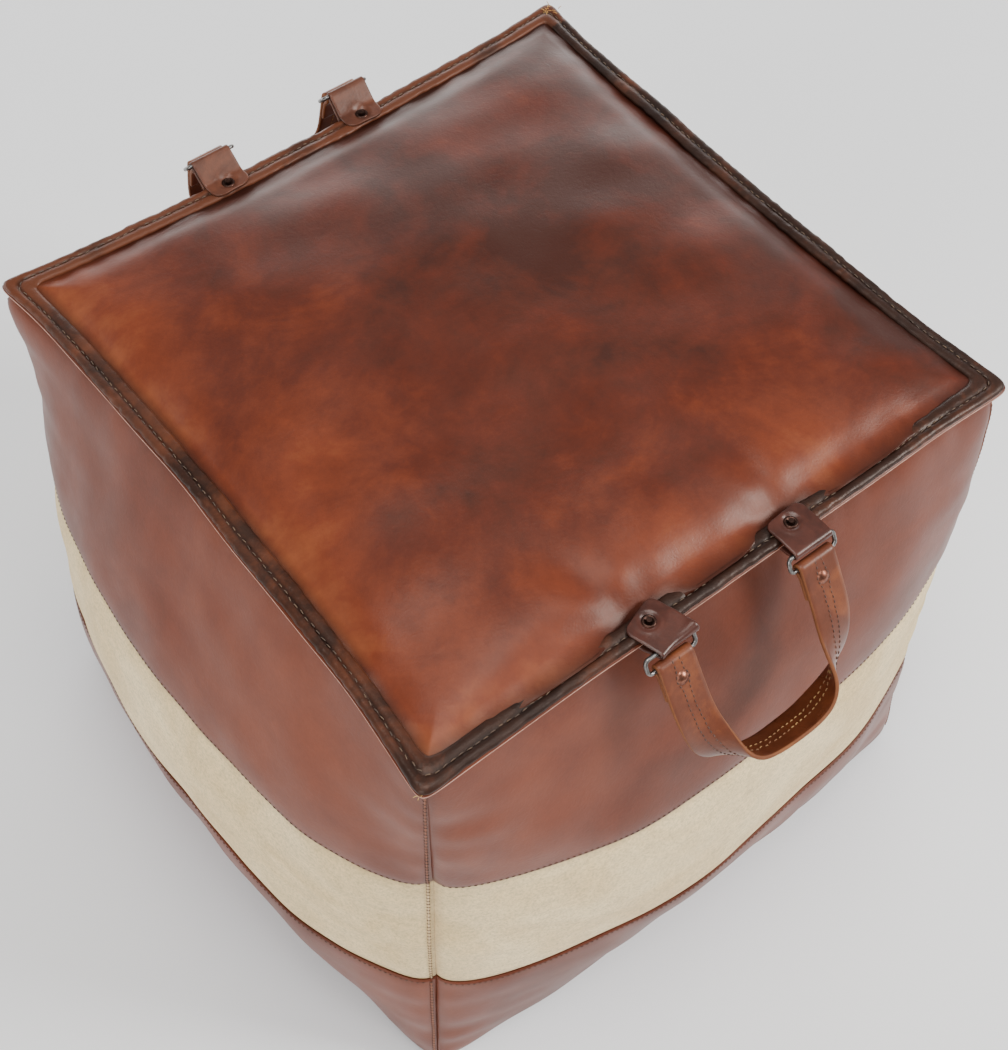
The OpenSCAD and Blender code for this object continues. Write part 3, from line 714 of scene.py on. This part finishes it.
def top_panel():
    rim = np.concatenate([[-2], COLUMNS, [2]])
    u, w = np.meshgrid(rim, rim)
    on_rim = np.maximum(np.abs(u), np.abs(w)) > 1
    u, w = np.clip(u, -1, 1), np.clip(w, -1, 1)
    x, y = plan_point(u, w, body_level(WALL_TOP))
    rim_x, rim_y = plan_point(u, w, edge_level(EDGE_W * 0.5))
    inside = np.minimum(1 - np.abs(u), 1 - np.abs(w)) * BASE_CORNER
    at = np.stack([x, y], -1)
    crown = CROWN * swell(u, CROWN_FULLNESS) * swell(w, CROWN_FULLNESS)
    height = EDGE_MID + LEATHER - 0.7 + FIRST_SLOPE * np.minimum(inside, SLOPE_WIDTH)
    height = height + crown * (1 - np.exp(-(inside / SHOULDER) ** 2))
    waves = sum(size * ripples(at, wave, seed) for size, wave, seed in TOP_WAVES)
    height += waves * (1 - np.exp(-inside / 16))
    size, wave, seed = RIM_WAVES
    height += size * ripples(at, wave, seed) * np.exp(-inside / 11) * (1 - np.exp(-inside / 2))
    from_edge = [far * BASE_CORNER for far in (1 + u, 1 + w, 1 - w, 1 - u)]
    lip, folds = front_lip(x, from_edge[1]), creases(x, y)
    height += folds + LIP_RISE * lip
    y = y - LIP_OUT * lip
    height = np.where(on_rim, EDGE_MID + 0.6, height)
    outer = np.stack([np.where(on_rim, rim_x, x), np.where(on_rim, rim_y, y), height], -1)
    piece = shell("top_panel_cover", outer, outer - grid_normals(outer) * LEATHER)
    # Painted shade and highlight: through folds the tone is darker in the creases and dimples and lighter on
    # the puffs beside them.
    tan = 0.04 * ripples(at, 110, 15) + 0.035 * folds - 0.04
    for far, (strength, reach) in zip(from_edge, EDGE_TONES):
        tan += strength * np.exp(-far / reach)
    for cloud_x, cloud_y, radius, strength in CLOUDS_AND_PUFF_HIGHLIGHTS:
        tan += strength * spot(x, y, cloud_x, cloud_y, radius)
    # Painted shade: darker within 9 mm of the binding and round the front tab rivets.
    seam = np.clip(inside / 9.0, 0, 1)
    for tab_x in RING_X:
        seam = seam * (1 - 0.5 * spot(x, y, tab_x, RIVET_Y["front"], 22))
    give_shell(piece, "tan", tan)
    give_shell(piece, "seam", seam)
    place(piece, "root", "top_leather", TOP_LEATHER, "top_panel")
    paint_rim(piece, TOP_LEATHER)


top_panel()

# Section of the binding: how far out from its seam, and how high above the edge's middle.
# Two soft rolls with a stitched groove between them.
ROLLS = (
    (-1.6, 0.9), (-1.0, 2.2), (0.4, 2.75), (2.4, 3.0), (4.4, 2.7), (5.6, 2.0), (6.2, 1.75), (6.8, 2.0),
    (8.0, 2.6), (9.8, 2.7), (11.4, 2.2), (12.4, 1.0), (12.6, -0.2), (12.1, -1.1), (9.0, -1.2),
    (4.0, -1.2), (0.2, -1.2))
GROOVE = (6.2, 1.75)


def binding_lines(out, up, count=330):
    """Closed line round the flat edge, a given distance out from the binding's seam."""
    u = np.linspace(-1, 1, count, endpoint=False)
    line = []
    for k in range(4):
        inner = wall_point(k, u, WALL_TOP)
        outer = wall_point(k, u, WALL_TOP, edge_level(0))
        outward, upward = flange_shift(k, u)
        share = out / EDGE_W
        at = inner + (outer - inner) * share + unit(outer - inner) * (outward * max(share, 0))[:, None]
        at[:, 2] = EDGE_MID + up + upward
        line.append(at)
    return smoothed(np.concatenate(line), 5.4, closed=True)


def top_binding():
    sections = np.stack([binding_lines(out, up) for out, up in ROLLS], 1)
    centre = sections.mean(1, keepdims=True)
    wrinkle = 0.22 * ripples(sections, 6, 31) + 0.24 * ripples(sections, 26, 32)
    sections = sections + unit(sections - centre) * wrinkle[..., None]
    piece = tube_mesh("top_binding_strip", sections[:, ::-1], looped=True)
    x, y = sections[:, ::-1, 0], sections[:, ::-1, 1]
    # The binding's tone is lighter along its back and its left edge.
    lighter_back = np.where(y > EDGE_MIDDLE[2] - 14, 0.27, 0.0)
    lighter_left = np.where(x < -EDGE_MIDDLE[3] + 14, 0.12, 0.0)
    give(piece, "tan", lighter_back + lighter_left + 0.07 * ripples(sections[:, ::-1], 40, 33))
    # Painted shade in the stitched groove between the two rolls.
    shade = np.array([0.15 if abs(out - GROOVE[0]) < 0.9 else 1.0 for out, _ in ROLLS])[::-1]
    give(piece, "seam", np.broadcast_to(shade, sections.shape[:2]))
    place(piece, "root", "binding_leather", BINDING_LEATHER, "top_binding")
    line = binding_lines(GROOVE[0], GROOVE[1] + 0.35)
    row = stitch_row("binding_stitches", line, np.tile([0, 0, 1.0], (len(line), 1)), 5.2, 3.3, 0.33,
                     wander=0.35, seed=5, closed=True)
    place(row, "root", "binding_leather", TAN_THREAD)


top_binding()


# ---- Seam stitches ----

def wall_line(k, z, u, low, high, relief, step_out):
    z = np.full_like(u, z)
    normal = wall_normal(k, u, z)
    offset = wall_offset(k, u, z, low, high, relief) + step_out
    return wall_point(k, u, z) + normal * offset[..., None], normal


SEAM_INSET = 2.0


def seam_stitches():
    u = np.linspace(-0.985, 0.985, 200)
    for k in range(4):
        for name, z, low, high in (("upper", BAND_HIGH + SEAM_INSET, BAND_HIGH, WALL_TOP),
                                   ("lower", BAND_LOW - SEAM_INSET, SEAM_LOW, BAND_LOW)):
            line, normal = wall_line(k, z, u, low, high, LEATHER_PUFF, OVER)
            row = stitch_row(f"{name}_seam_stitches_{SIDES[k]}", line, normal, 3.8, 2.6, 0.33,
                             wander=0.12, seed=70 + k)
            place(row, "root", "side_leather", DARK_THREAD)


seam_stitches()


# Lower end, upper end, level, material and slot of the corner welts.
WELTS = (("lower", SEAM_LOW, BAND_LOW, OVER, WELT, "side_leather"),
         ("band", BAND_LOW, BAND_HIGH, UNDER, PALE_WELT, "cream_suede"),
         ("upper", BAND_HIGH, WALL_TOP - 4, OVER, WELT, "side_leather"))


def corner_welts():
    """The turned edge of one panel stands up beside each corner seam, with stitches over it."""
    turn = np.arange(8) * math.pi / 4
    for k in range(4):
        for name, low, high, step_out, material, slot in WELTS:
            z = np.arange(low + 0.8, high - 0.8, 2.0)
            u = np.full_like(z, 0.9935)
            normal = wall_normal(k, u, z)
            line = wall_line(k, z, u, low, high, LEATHER_PUFF, step_out + 0.2)[0]
            side = unit(np.cross(normal, unit(np.gradient(line, axis=0))))
            ring = (side[:, None] * np.cos(turn)[None, :, None] * 0.7
                    + normal[:, None] * np.sin(turn)[None, :, None] * 0.75)
            welt = tube_mesh(f"{name}_corner_welt_{SIDES[k]}", line[:, None] + ring)
            place(welt, "root", slot, material)
            ticks = resample(np.hstack([line, normal, side]), 4.2)
            up, over = unit(ticks[:, 3:6]), unit(ticks[:, 6:])
            middle, half = ticks[:, :3] + 0.55 * up, 1.3 * over
            row = stitches(f"{name}_corner_stitches_{SIDES[k]}", middle - half, middle + half, up, 0.24)
            place(row, "root", slot, DARK_THREAD)


corner_welts()


def loose_threads(name, at, count, spread, material, seed):
    """A small knot of thread ends."""
    rng = np.random.default_rng(seed)
    starts = at + rng.normal(0, spread, (count, 3)) * [1, 1, 0.3]
    way = unit(rng.normal(0, 1, (count, 3)) * [1, 1, 0.35])
    ends = starts + way * rng.uniform(2.0, 4.5, (count, 1))
    knot = stitches(name, starts, ends, np.tile([0, 0, 1.0], (count, 1)), 0.24)
    place(knot, "root", "binding_leather", material)


FRONT_LEFT_TIP = np.array([-EDGE_TIP + 1.5, -EDGE_TIP + 1.5, EDGE_LOW + 0.6])
BACK_RIGHT_TIP = np.array([EDGE_TIP - 7, EDGE_TIP - 7, EDGE_TOP + 0.4])
loose_threads("front_corner_knot", FRONT_LEFT_TIP, 7, 0.8, ORANGE_THREAD, 3)
loose_threads("back_corner_threads", BACK_RIGHT_TIP, 16, 2.6, ORANGE_THREAD, 4)


# ---- Base ----

ZIP_HALF = box_mm("zip_tape_back")[1][0]
# The base is lifted along the zip, and parts by a slit that closes over SLIT_END past it.
LIFT = box_mm("zip_tape_back")[0][2] - LEATHER
SLIT_HALF, SLIT_END = 6.5, 34
# Share of the half width that lies flat; the rest curves up to the seam.
FLAT_SHARE = 0.955


def seam_shift(u, w):
    """How far the foot of the walls stands off the plain shape, at the rim of the base nearest
    to each point."""
    reach = np.maximum(np.maximum(np.abs(u), np.abs(w)), 1e-6)
    shifts = []
    for k, along in enumerate((u, w, -u, -w)):
        along = np.clip(along / reach, -1, 1)
        z = np.full_like(along, SEAM_LOW)
        plain = plan_point(*side_uw(k, along), body_level(z))
        line, _ = wall_line(k, SEAM_LOW, along, SEAM_LOW, BAND_LOW, LEATHER_PUFF, OVER)
        shifts.append(np.stack([line[..., 0] - plain[0], line[..., 1] - plain[1]], -1))
    nearest = np.where(np.abs(w) >= np.abs(u), np.where(w < 0, 0, 2), np.where(u < 0, 3, 1))
    shift = np.take_along_axis(np.stack(shifts), nearest[None, ..., None], 0)[0]
    return shift * ease((reach - 0.7) / 0.3)[..., None]


def base_panel(back):
    """Half of the base: flat on the floor, curved up to its seam, and lifted along the zip."""
    flip, half = (1, "back") if back else (-1, "front")
    rows = np.sin(np.radians(np.linspace(0, 90, 48)))
    u, w = np.meshgrid(COLUMNS[::-1] if back else COLUMNS, rows)
    x, y = plan_point(u, flip * w, body_level(SEAM_LOW))
    open_by = ease((ZIP_HALF + SLIT_END - np.abs(x)) / SLIT_END)
    lip = SLIT_HALF * open_by
    y = y + flip * lip * (1 - w) ** 8
    reach = np.clip((np.abs(u) ** 10 + w ** 10) ** 0.1, 0, 1)
    z = SEAM_LOW * np.clip((reach - FLAT_SHARE) / (1 - FLAT_SHARE), 0, 1) ** 2
    z = z + LIFT * open_by * ease((26 - np.abs(y)) / 11)
    z = z + 0.25 * (1 + ripples(np.stack([x, y], -1), 60, 51)) * ease((0.93 - reach) / 0.1)
    shift = seam_shift(u, flip * w)
    outer = np.stack([x + shift[..., 0], y + shift[..., 1], np.maximum(z, 0)], -1)
    piece = shell(f"base_panel_{half}_cover", outer, outer + np.array([0, 0, LEATHER]))
    # Painted shade: the base darkens towards its rim, where it curves up to the seam.
    give_shell(piece, "seam", np.clip((1 - reach) * 30, 0, 1))
    place(piece, "root", "base_leather", SIDE_LEATHER, f"base_panel_{half}")
    paint_rim(piece, RAW_EDGE)
    line = np.stack([x[0], flip * (lip[0] + 3.0), LIFT * open_by[0] - 0.1], 1)
    line = line[np.abs(line[:, 0]) < ZIP_HALF - 2]
    down = np.tile([0, 0, -1.0], (len(line), 1))
    row = stitch_row(f"zip_stitches_{half}", line, down, 4.0, 2.8, 0.35, wander=0.1, seed=90)
    place(row, "root", "base_leather", DARK_THREAD)


base_panel(False)
base_panel(True)


# ---- Stuffing: a cotton bag and its filling, inside the leather ----

def bag(name, depth, material, slot, swell_by, wrinkle):
    """Closed bag a given depth inside the cover."""
    columns = np.sin(np.radians(np.linspace(-90, 90, 61)))
    heights = np.linspace(SEAM_LOW + 5, WALL_TOP - 2, 40)
    floor = SEAM_LOW + depth
    points, faces = [], []

    def add(grid):
        start = sum(len(g) for g in points)
        points.append(grid.reshape(-1, 3))
        faces.extend((start + grid_quads(*grid.shape[:2])).tolist())

    for k in range(4):
        u, z = np.meshgrid(columns, heights)
        grid = wall_point(k, u, z, inset=depth)
        grid[..., 2] = np.maximum(z, floor)
        add(grid)
    u, w = np.meshgrid(columns, columns)
    x, y = plan_point(u, w, body_level(heights[-1]), depth)
    crown = CROWN * swell(u, CROWN_FULLNESS) * swell(w, CROWN_FULLNESS) * swell_by
    add(np.stack([x, y, heights[-1] + crown], -1))
    u, w = np.meshgrid(columns[::-1], columns)
    x, y = plan_point(u, w, body_level(heights[0]), depth)
    add(np.stack([x, y, np.full_like(x, floor)], -1))
    everything = np.concatenate(points)
    middle = np.array([0, 0, EDGE_MID / 2])
    dents = wrinkle * np.abs(ripples(everything, 70, 81))
    everything = everything - unit(everything - middle) * dents[:, None]
    piece = new_mesh(name, everything, faces)
    merged = bmesh.new()
    merged.from_mesh(piece.data)
    bmesh.ops.remove_doubles(merged, verts=merged.verts, dist=0.05 * MM)
    merged.to_mesh(piece.data)
    merged.free()
    place(piece, "root", slot, material)
    return piece


liner = bag("inner_liner_bag", 8, LINER_CLOTH, "liner_cotton", 0.7, 0.8)
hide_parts("inner_liner")
stuffing = bag("filling_stuffing", 11, WADDING, "cotton_filling", 0.62, 1.5)
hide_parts("filling")


# ---- Ribbons: tabs and straps ----

def strip_section(steps, rounding=0.055):
    """Outline of a leather strip: across it from 1 to -1 and through it from 1 to -1. The
    first steps points are on one face, the next three on an edge, and so on round."""
    face = np.linspace(1 - rounding, rounding - 1, steps)
    bend = np.radians([45, 90, 135])
    edge_out, edge_through = rounding - 1 - rounding * np.sin(bend), np.cos(bend)
    across = np.concatenate([face, edge_out, -face, -edge_out])
    through = np.concatenate([np.ones(steps), edge_through, -np.ones(steps), -edge_through])
    return across, through


def ribbon(name, line, across, widths, thickness, steps):
    """Leather strip along a line. across is the width direction at each point."""
    run = unit(np.gradient(line, axis=0))
    across = unit(across - (across * run).sum(-1, keepdims=True) * run)
    face = np.cross(run, across)
    flat, thick = strip_section(steps)
    sections = (line[:, None] + across[:, None] * (flat[None, :, None] * widths[:, None, None])
                + face[:, None] * (thick[None, :, None] * thickness / 2))
    return tube_mesh(name, sections), across, face


BORE_R = 1.38
TAB_T, TAB_HALF, TAB_STEPS, TAB_STEP = 1.7, 14.0, 30, 0.45
# How far a tab reaches out past its rivet, and in from there on its upper and lower side.
TAB_OUT, TAB_OVER, TAB_UNDER = 6.4, 14, 11
TAB_CORNER = {"front": 5.0, "back": 7.0}
TAB_RISE = {"front": 0, "back": 45}
TAB_LEATHER = {"front": FRONT_TAB, "back": BACK_TAB}
BAR = {side: np.abs(JOINT_AT[f"{side}_rings_swing"]) for side in ("front", "back")}
OUT = {"front": -1, "back": 1}


def arc(centre, radius, start, stop, count=14):
    a = np.radians(np.linspace(start, stop, count))
    return np.stack([centre[0] + radius * np.cos(a), centre[1] + radius * np.sin(a)], 1)


def tab(side, name, x, skew):
    """Strip folded round the ring's upper bar and riveted through the flat edge."""
    rivet = abs(RIVET_Y[side])
    edge, rise = rivet + TAB_OUT, TAB_RISE[side]
    over, under = EDGE_TOP + TAB_T / 2 + 0.05, EDGE_LOW - TAB_T / 2
    path = np.concatenate([
        [(edge - TAB_OVER, over), (edge - TAB_OVER / 2, over), (edge - 1, over)],
        arc(BAR[side][1:], BORE_R + TAB_T / 2, 90 + rise, -90 + rise),
        [(edge - 1, under), (edge - TAB_UNDER, under)]])
    path = smoothed(resample(path, TAB_STEP), 3.0)
    line = np.stack([x + skew * (path[:, 0] - rivet), OUT[side] * path[:, 0], path[:, 1]], 1)
    travelled = np.linspace(0, TAB_STEP * len(path), len(path))
    corner = TAB_CORNER[side]
    into_corner = np.clip(corner - np.minimum(travelled, travelled[-1] - travelled), 0, None)
    widths = TAB_HALF - corner + np.sqrt(np.clip(corner ** 2 - into_corner ** 2, 0.01, None))
    across = np.tile([-OUT[side], 0.0, 0], (len(line), 1))
    piece, *_ = ribbon(name, line, across, widths, TAB_T, TAB_STEPS)
    dent(piece, (x, OUT[side] * rivet), 1.3, 5.0)
    place(piece, "root", f"{side}_tab_leather", TAB_LEATHER[side], name.replace("_strip", ""))


def dent(piece, at, depth, radius):
    """Presses the tab down round its rivet, with a raised ring outside the dimple."""
    for vertex in piece.data.vertices:
        x, y, z = np.array(vertex.co) / MM
        r = math.hypot(x - at[0], y - at[1])
        if z > EDGE_MID and r < 4 * radius:
            ring = 0.35 * math.exp(-((r - 1.35 * radius) / 2.0) ** 2)
            vertex.co.z -= (depth * math.exp(-(r / radius) ** 4) - ring) * MM


def lathe(name, profile, origin, axis, count=40):
    """Turned piece about an axis: profile is (radius, height) from its top centre outwards."""
    axis = unit(np.array(axis, float))
    side = unit(np.cross(axis, [1.0, 0.2, 0.1]))
    other = np.cross(axis, side)
    turn = np.arange(count) * 2 * math.pi / count
    spokes = side * np.cos(turn)[:, None] + other * np.sin(turn)[:, None]
    rings = [origin + axis * height + radius * spokes for radius, height in profile]
    return tube_mesh(name, np.stack(rings[::-1]))


def joined(name, pieces):
    """One object from several."""
    bpy.ops.object.select_all(action="DESELECT")
    for piece in pieces:
        piece.select_set(True)
    bpy.context.view_layer.objects.active = pieces[0]
    bpy.ops.object.join()
    pieces[0].name = name
    pieces[0].select_set(False)
    return pieces[0]


# A hollow eyelet with a raised ring. Each tab is a little askew.
SUNK_CAP = ((0.2, -0.75), (1.3, -0.7), (2.0, -0.45), (2.6, 0.15), (3.1, 0.45), (3.6, 0.42), (4.1, 0.1),
            (4.4, -0.5), (4.4, -1.4), (0.2, -1.4))
for side, skews in (("front", (0.35, 0.06)), ("back", (-0.04, 0.05))):
    caps = []
    for x, hand, skew in zip(RING_X, ("left", "right"), skews):
        tab(side, f"{side}_{hand}_tab_strip", x, skew)
        seat = np.array([x, RIVET_Y[side], EDGE_TOP + TAB_T - 0.5])
        caps.append(lathe(f"{side}_{hand}_tab_cap", SUNK_CAP, seat, (0, 0, 1)))
    cap = joined(f"{side}_tab_rivets", caps)
    place(cap, "root", "dark_rivet", DARK_RIVET, f"{side}_tab_rivet_caps")

STRAP_T, STRAP_HALF, STRAP_STEP, STRAP_STEPS = 2.6, 12.7, 0.9, 12
STRAP_BAR = {side: np.abs(JOINT_AT[f"{side}_handle_swing"]) for side in ("front", "back")}
LEAN = {"front": 33, "back": 14}
# Heights below the ring's lower bar: foot of the loop, start of the loop, end of the tail
# behind it, and rivet.
LOOP_DROP, RIBBON_Z, TAIL_Z, RIVET_Z = 86.0, -16.0, -21.0, -11.0
SPACING = RING_X[1] - RING_X[0]
FRONT_FACE_Y = BORE_R + STRAP_T / 2
TAIL_Y = BORE_R - 0.2 - STRAP_T / 2
# Where each leg's front starts, in points along the strap, and the rivet's place along it.
FOLD_LENGTH = 34
RIVET_ALONG = FOLD_LENGTH * STRAP_STEP - RIVET_Z - 1.0
# The two rows of stitches run this far off the middle, and part round the rivet.
ROW_OFFSET, ROUND_RIVET = 2.4, 2.0
# Share at which the width direction is carried along while a line is spaced out evenly.
CARRIED = 0.001


def loop_side(c):
    return np.sign(c) * np.abs(c) ** 0.7


def strap_route():
    """Middle line and width direction of a strap in its own frame: X along the edge, Y out
    of the pouf, Z up, with the ring's lower bar at the top of each leg."""
    fold = np.concatenate([
        [(TAIL_Y, TAIL_Z), (TAIL_Y, -6.2)],
        arc((0, 0), FRONT_FACE_Y, 185, 0, 24),
        [(FRONT_FACE_Y, RIBBON_Z + 0.5)]])
    fold = smoothed(resample(fold, 0.6), 1.6)
    left = np.stack([np.full(len(fold), -SPACING / 2), fold[:, 0], fold[:, 1]], 1)
    a = np.radians(np.linspace(0, 180, 400))
    loop = np.stack([
        -SPACING / 2 * loop_side(np.cos(a)), np.full_like(a, FRONT_FACE_Y),
        RIBBON_Z - (LOOP_DROP + RIBBON_Z) * loop_side(np.sin(a))], 1)
    turn = np.radians(90 * ease((np.minimum(np.degrees(a), 180 - np.degrees(a)) - 6) / 68))
    run = unit(np.gradient(loop, axis=0))
    inward = np.stack([-run[:, 2], 0 * a, run[:, 0]], 1)
    across = np.cos(turn)[:, None] * inward + np.sin(turn)[:, None] * np.array([0, 1, 0])
    right = left[::-1] * np.array([-1, 1, 1])
    line = np.concatenate([left, loop, right])
    sideways = np.tile([1.0, 0, 0], (len(left), 1))
    widths = np.concatenate([sideways, across, -sideways])
    both = resample(np.hstack([line, widths * CARRIED]), STRAP_STEP)
    return both[:, :3], unit(both[:, 3:])


def to_frame(points, side, vector=False):
    """From a strap's own frame into the shared frame."""
    lean = math.radians(LEAN[side])
    sin, cos = math.sin(lean), math.cos(lean)
    x, y, z = points[..., 0], points[..., 1], points[..., 2]
    turned = np.stack([x, y * cos - z * sin, y * sin + z * cos], -1)
    if not vector:
        turned = turned + np.array([HANDLE_X, STRAP_BAR[side][1], STRAP_BAR[side][2]])
    turned[..., 1] *= OUT[side]
    return turned


def handle(side):
    line, across = strap_route()
    line = to_frame(line, side)
    across = to_frame(across, side, vector=True) * OUT[side]
    widths = STRAP_HALF + 0.25 * ripples(line, 45, 101)
    piece, across, face = ribbon(f"{side}_handle_leather", line, across, widths, STRAP_T, STRAP_STEPS)
    place(piece, f"{side}_handle", "strap_leather", STRAP_LEATHER, f"{side}_handle_strap")
    piece.data.materials.append(STRAP_INSIDE)
    piece.data.materials.append(STRAP_EDGE)
    outward = 1 if face[FOLD_LENGTH + 4][1] * OUT[side] > 0 else -1
    half = STRAP_STEPS + 3
    for polygon in piece.data.polygons[: (len(line) - 1) * 2 * half]:
        strip = polygon.index % (2 * half)
        if strip % half >= STRAP_STEPS - 1:
            polygon.material_index = 2
        else:
            polygon.material_index = 0 if (strip < half) == (outward > 0) else 1
    order = np.arange(len(line))
    along = np.minimum(order, len(line) - 1 - order) * STRAP_STEP
    aside = ROW_OFFSET + ROUND_RIVET * np.exp(-((along - RIVET_ALONG) / 4.0) ** 2)
    sewn = slice(FOLD_LENGTH - 3, len(line) - FOLD_LENGTH + 3)
    for layer, way, material, wander in (("outer", outward, DARK_THREAD, 0.15),
                                         ("inner", -outward, GOLD_THREAD, 0.35)):
        for row, hand, seed in (("left", -1, 9), ("right", 1, 10)):
            track = line + across * (hand * aside)[:, None] + way * face * (STRAP_T / 2 + 0.05)
            made = stitch_row(f"{side}_handle_{layer}_{row}_stitches", track[sewn], way * face[sewn],
                              3.4, 2.3, 0.33, wander=wander, seed=seed)
            place(made, f"{side}_handle", "strap_leather", material)


for side in ("front", "back"):
    handle(side)

# ---- Metal and cloth that keep their CAD shape ----

KEEP = (
    (DARK_RIVET, ["front_tab_rivet_posts", "back_tab_rivet_posts"]),
    (RING_METAL, [f"{s}_{h}_ring" for s in ("front", "back") for h in ("left", "right")]),
    (COPPER, [f"{s}_handle_rivet_{p}" for s in ("front", "back") for p in ("caps", "posts")]),
    (ZIP_METAL, ["zip_teeth_front", "zip_teeth_back", "zip_stops", "zip_slider", "zip_pull"]),
    (TAPE_CLOTH, ["zip_tape_front", "zip_tape_back"]),
)
for material, names in KEEP:
    for name in names:
        kept = frame["nodes"][name]
        kept.data.materials.clear()
        kept.data.materials.append(material)


# ---- Studio ----

# Half side of the floor, in millimetres. Each light's place, target, width, height and power,
# in metres and watts.
FLOOR = 6000
LIGHTS = {
    "key": ((1.7, -1.7, 1.9), (0, 0, 0.25), 1.0, 1.0, 88),
    "fill": ((-2.2, -1.1, 1.5), (0, 0, 0.25), 1.8, 1.6, 46),
    "overhead": ((-0.2, -0.3, 2.8), (0, 0, 0.4), 1.3, 1.3, 40),
    "backdrop": ((1.6, 2.3, 0.8), (0, 0, 0.4), 3.0, 1.0, 52),
    "left_backdrop": ((-1.4, 2.4, 0.75), (0, 0, 0.4), 2.2, 0.8, 26),
}


def area_light(name, at, look, width, height, power):
    data = bpy.data.lights.new(name, "AREA")
    data.shape, data.size, data.size_y = "RECTANGLE", width, height
    data.energy = power
    lamp = bpy.data.objects.new(name, data)
    bpy.context.scene.collection.objects.link(lamp)
    lamp.location = at
    lamp.rotation_euler = (Vector(look) - Vector(at)).to_track_quat("-Z", "Y").to_euler()


def studio():
    corners = [(-FLOOR, -FLOOR, 0), (FLOOR, -FLOOR, 0), (FLOOR, FLOOR, 0), (-FLOOR, FLOOR, 0)]
    floor = new_mesh("floor", corners, [[0, 1, 2, 3]])
    floor.data.materials.append(floor_material())
    for name, values in LIGHTS.items():
        area_light(name, *values)


def floor_material():
    paint = Paint("pale_floor", {"Roughness": 0.9})
    return paint.dress(paint.ramp(paint.noise(3, 2), [(0.3, 0.84), (0.7, 0.86)]))


def sky():
    world = bpy.data.worlds.new("studio")
    bpy.context.scene.world = world
    world.use_nodes = True
    background = world.node_tree.nodes["Background"]
    background.inputs["Color"].default_value = (0.93, 0.94, 0.96, 1)
    background.inputs["Strength"].default_value = 0.42


def camera():
    """Above the front left corner, looking down at the top, with a slight roll."""
    data = bpy.data.cameras.new("camera")
    data.sensor_width, data.lens = 36, 57.55
    eye = bpy.data.objects.new("camera", data)
    eye.location = (-0.41196, -0.51791, 1.22176)
    eye.rotation_euler = [math.radians(turn) for turn in (33.81126, -0.70422, -38.12868)]
    bpy.context.scene.collection.objects.link(eye)
    bpy.context.scene.camera = eye


studio()
sky()
camera()

bpy.context.view_layer.update()
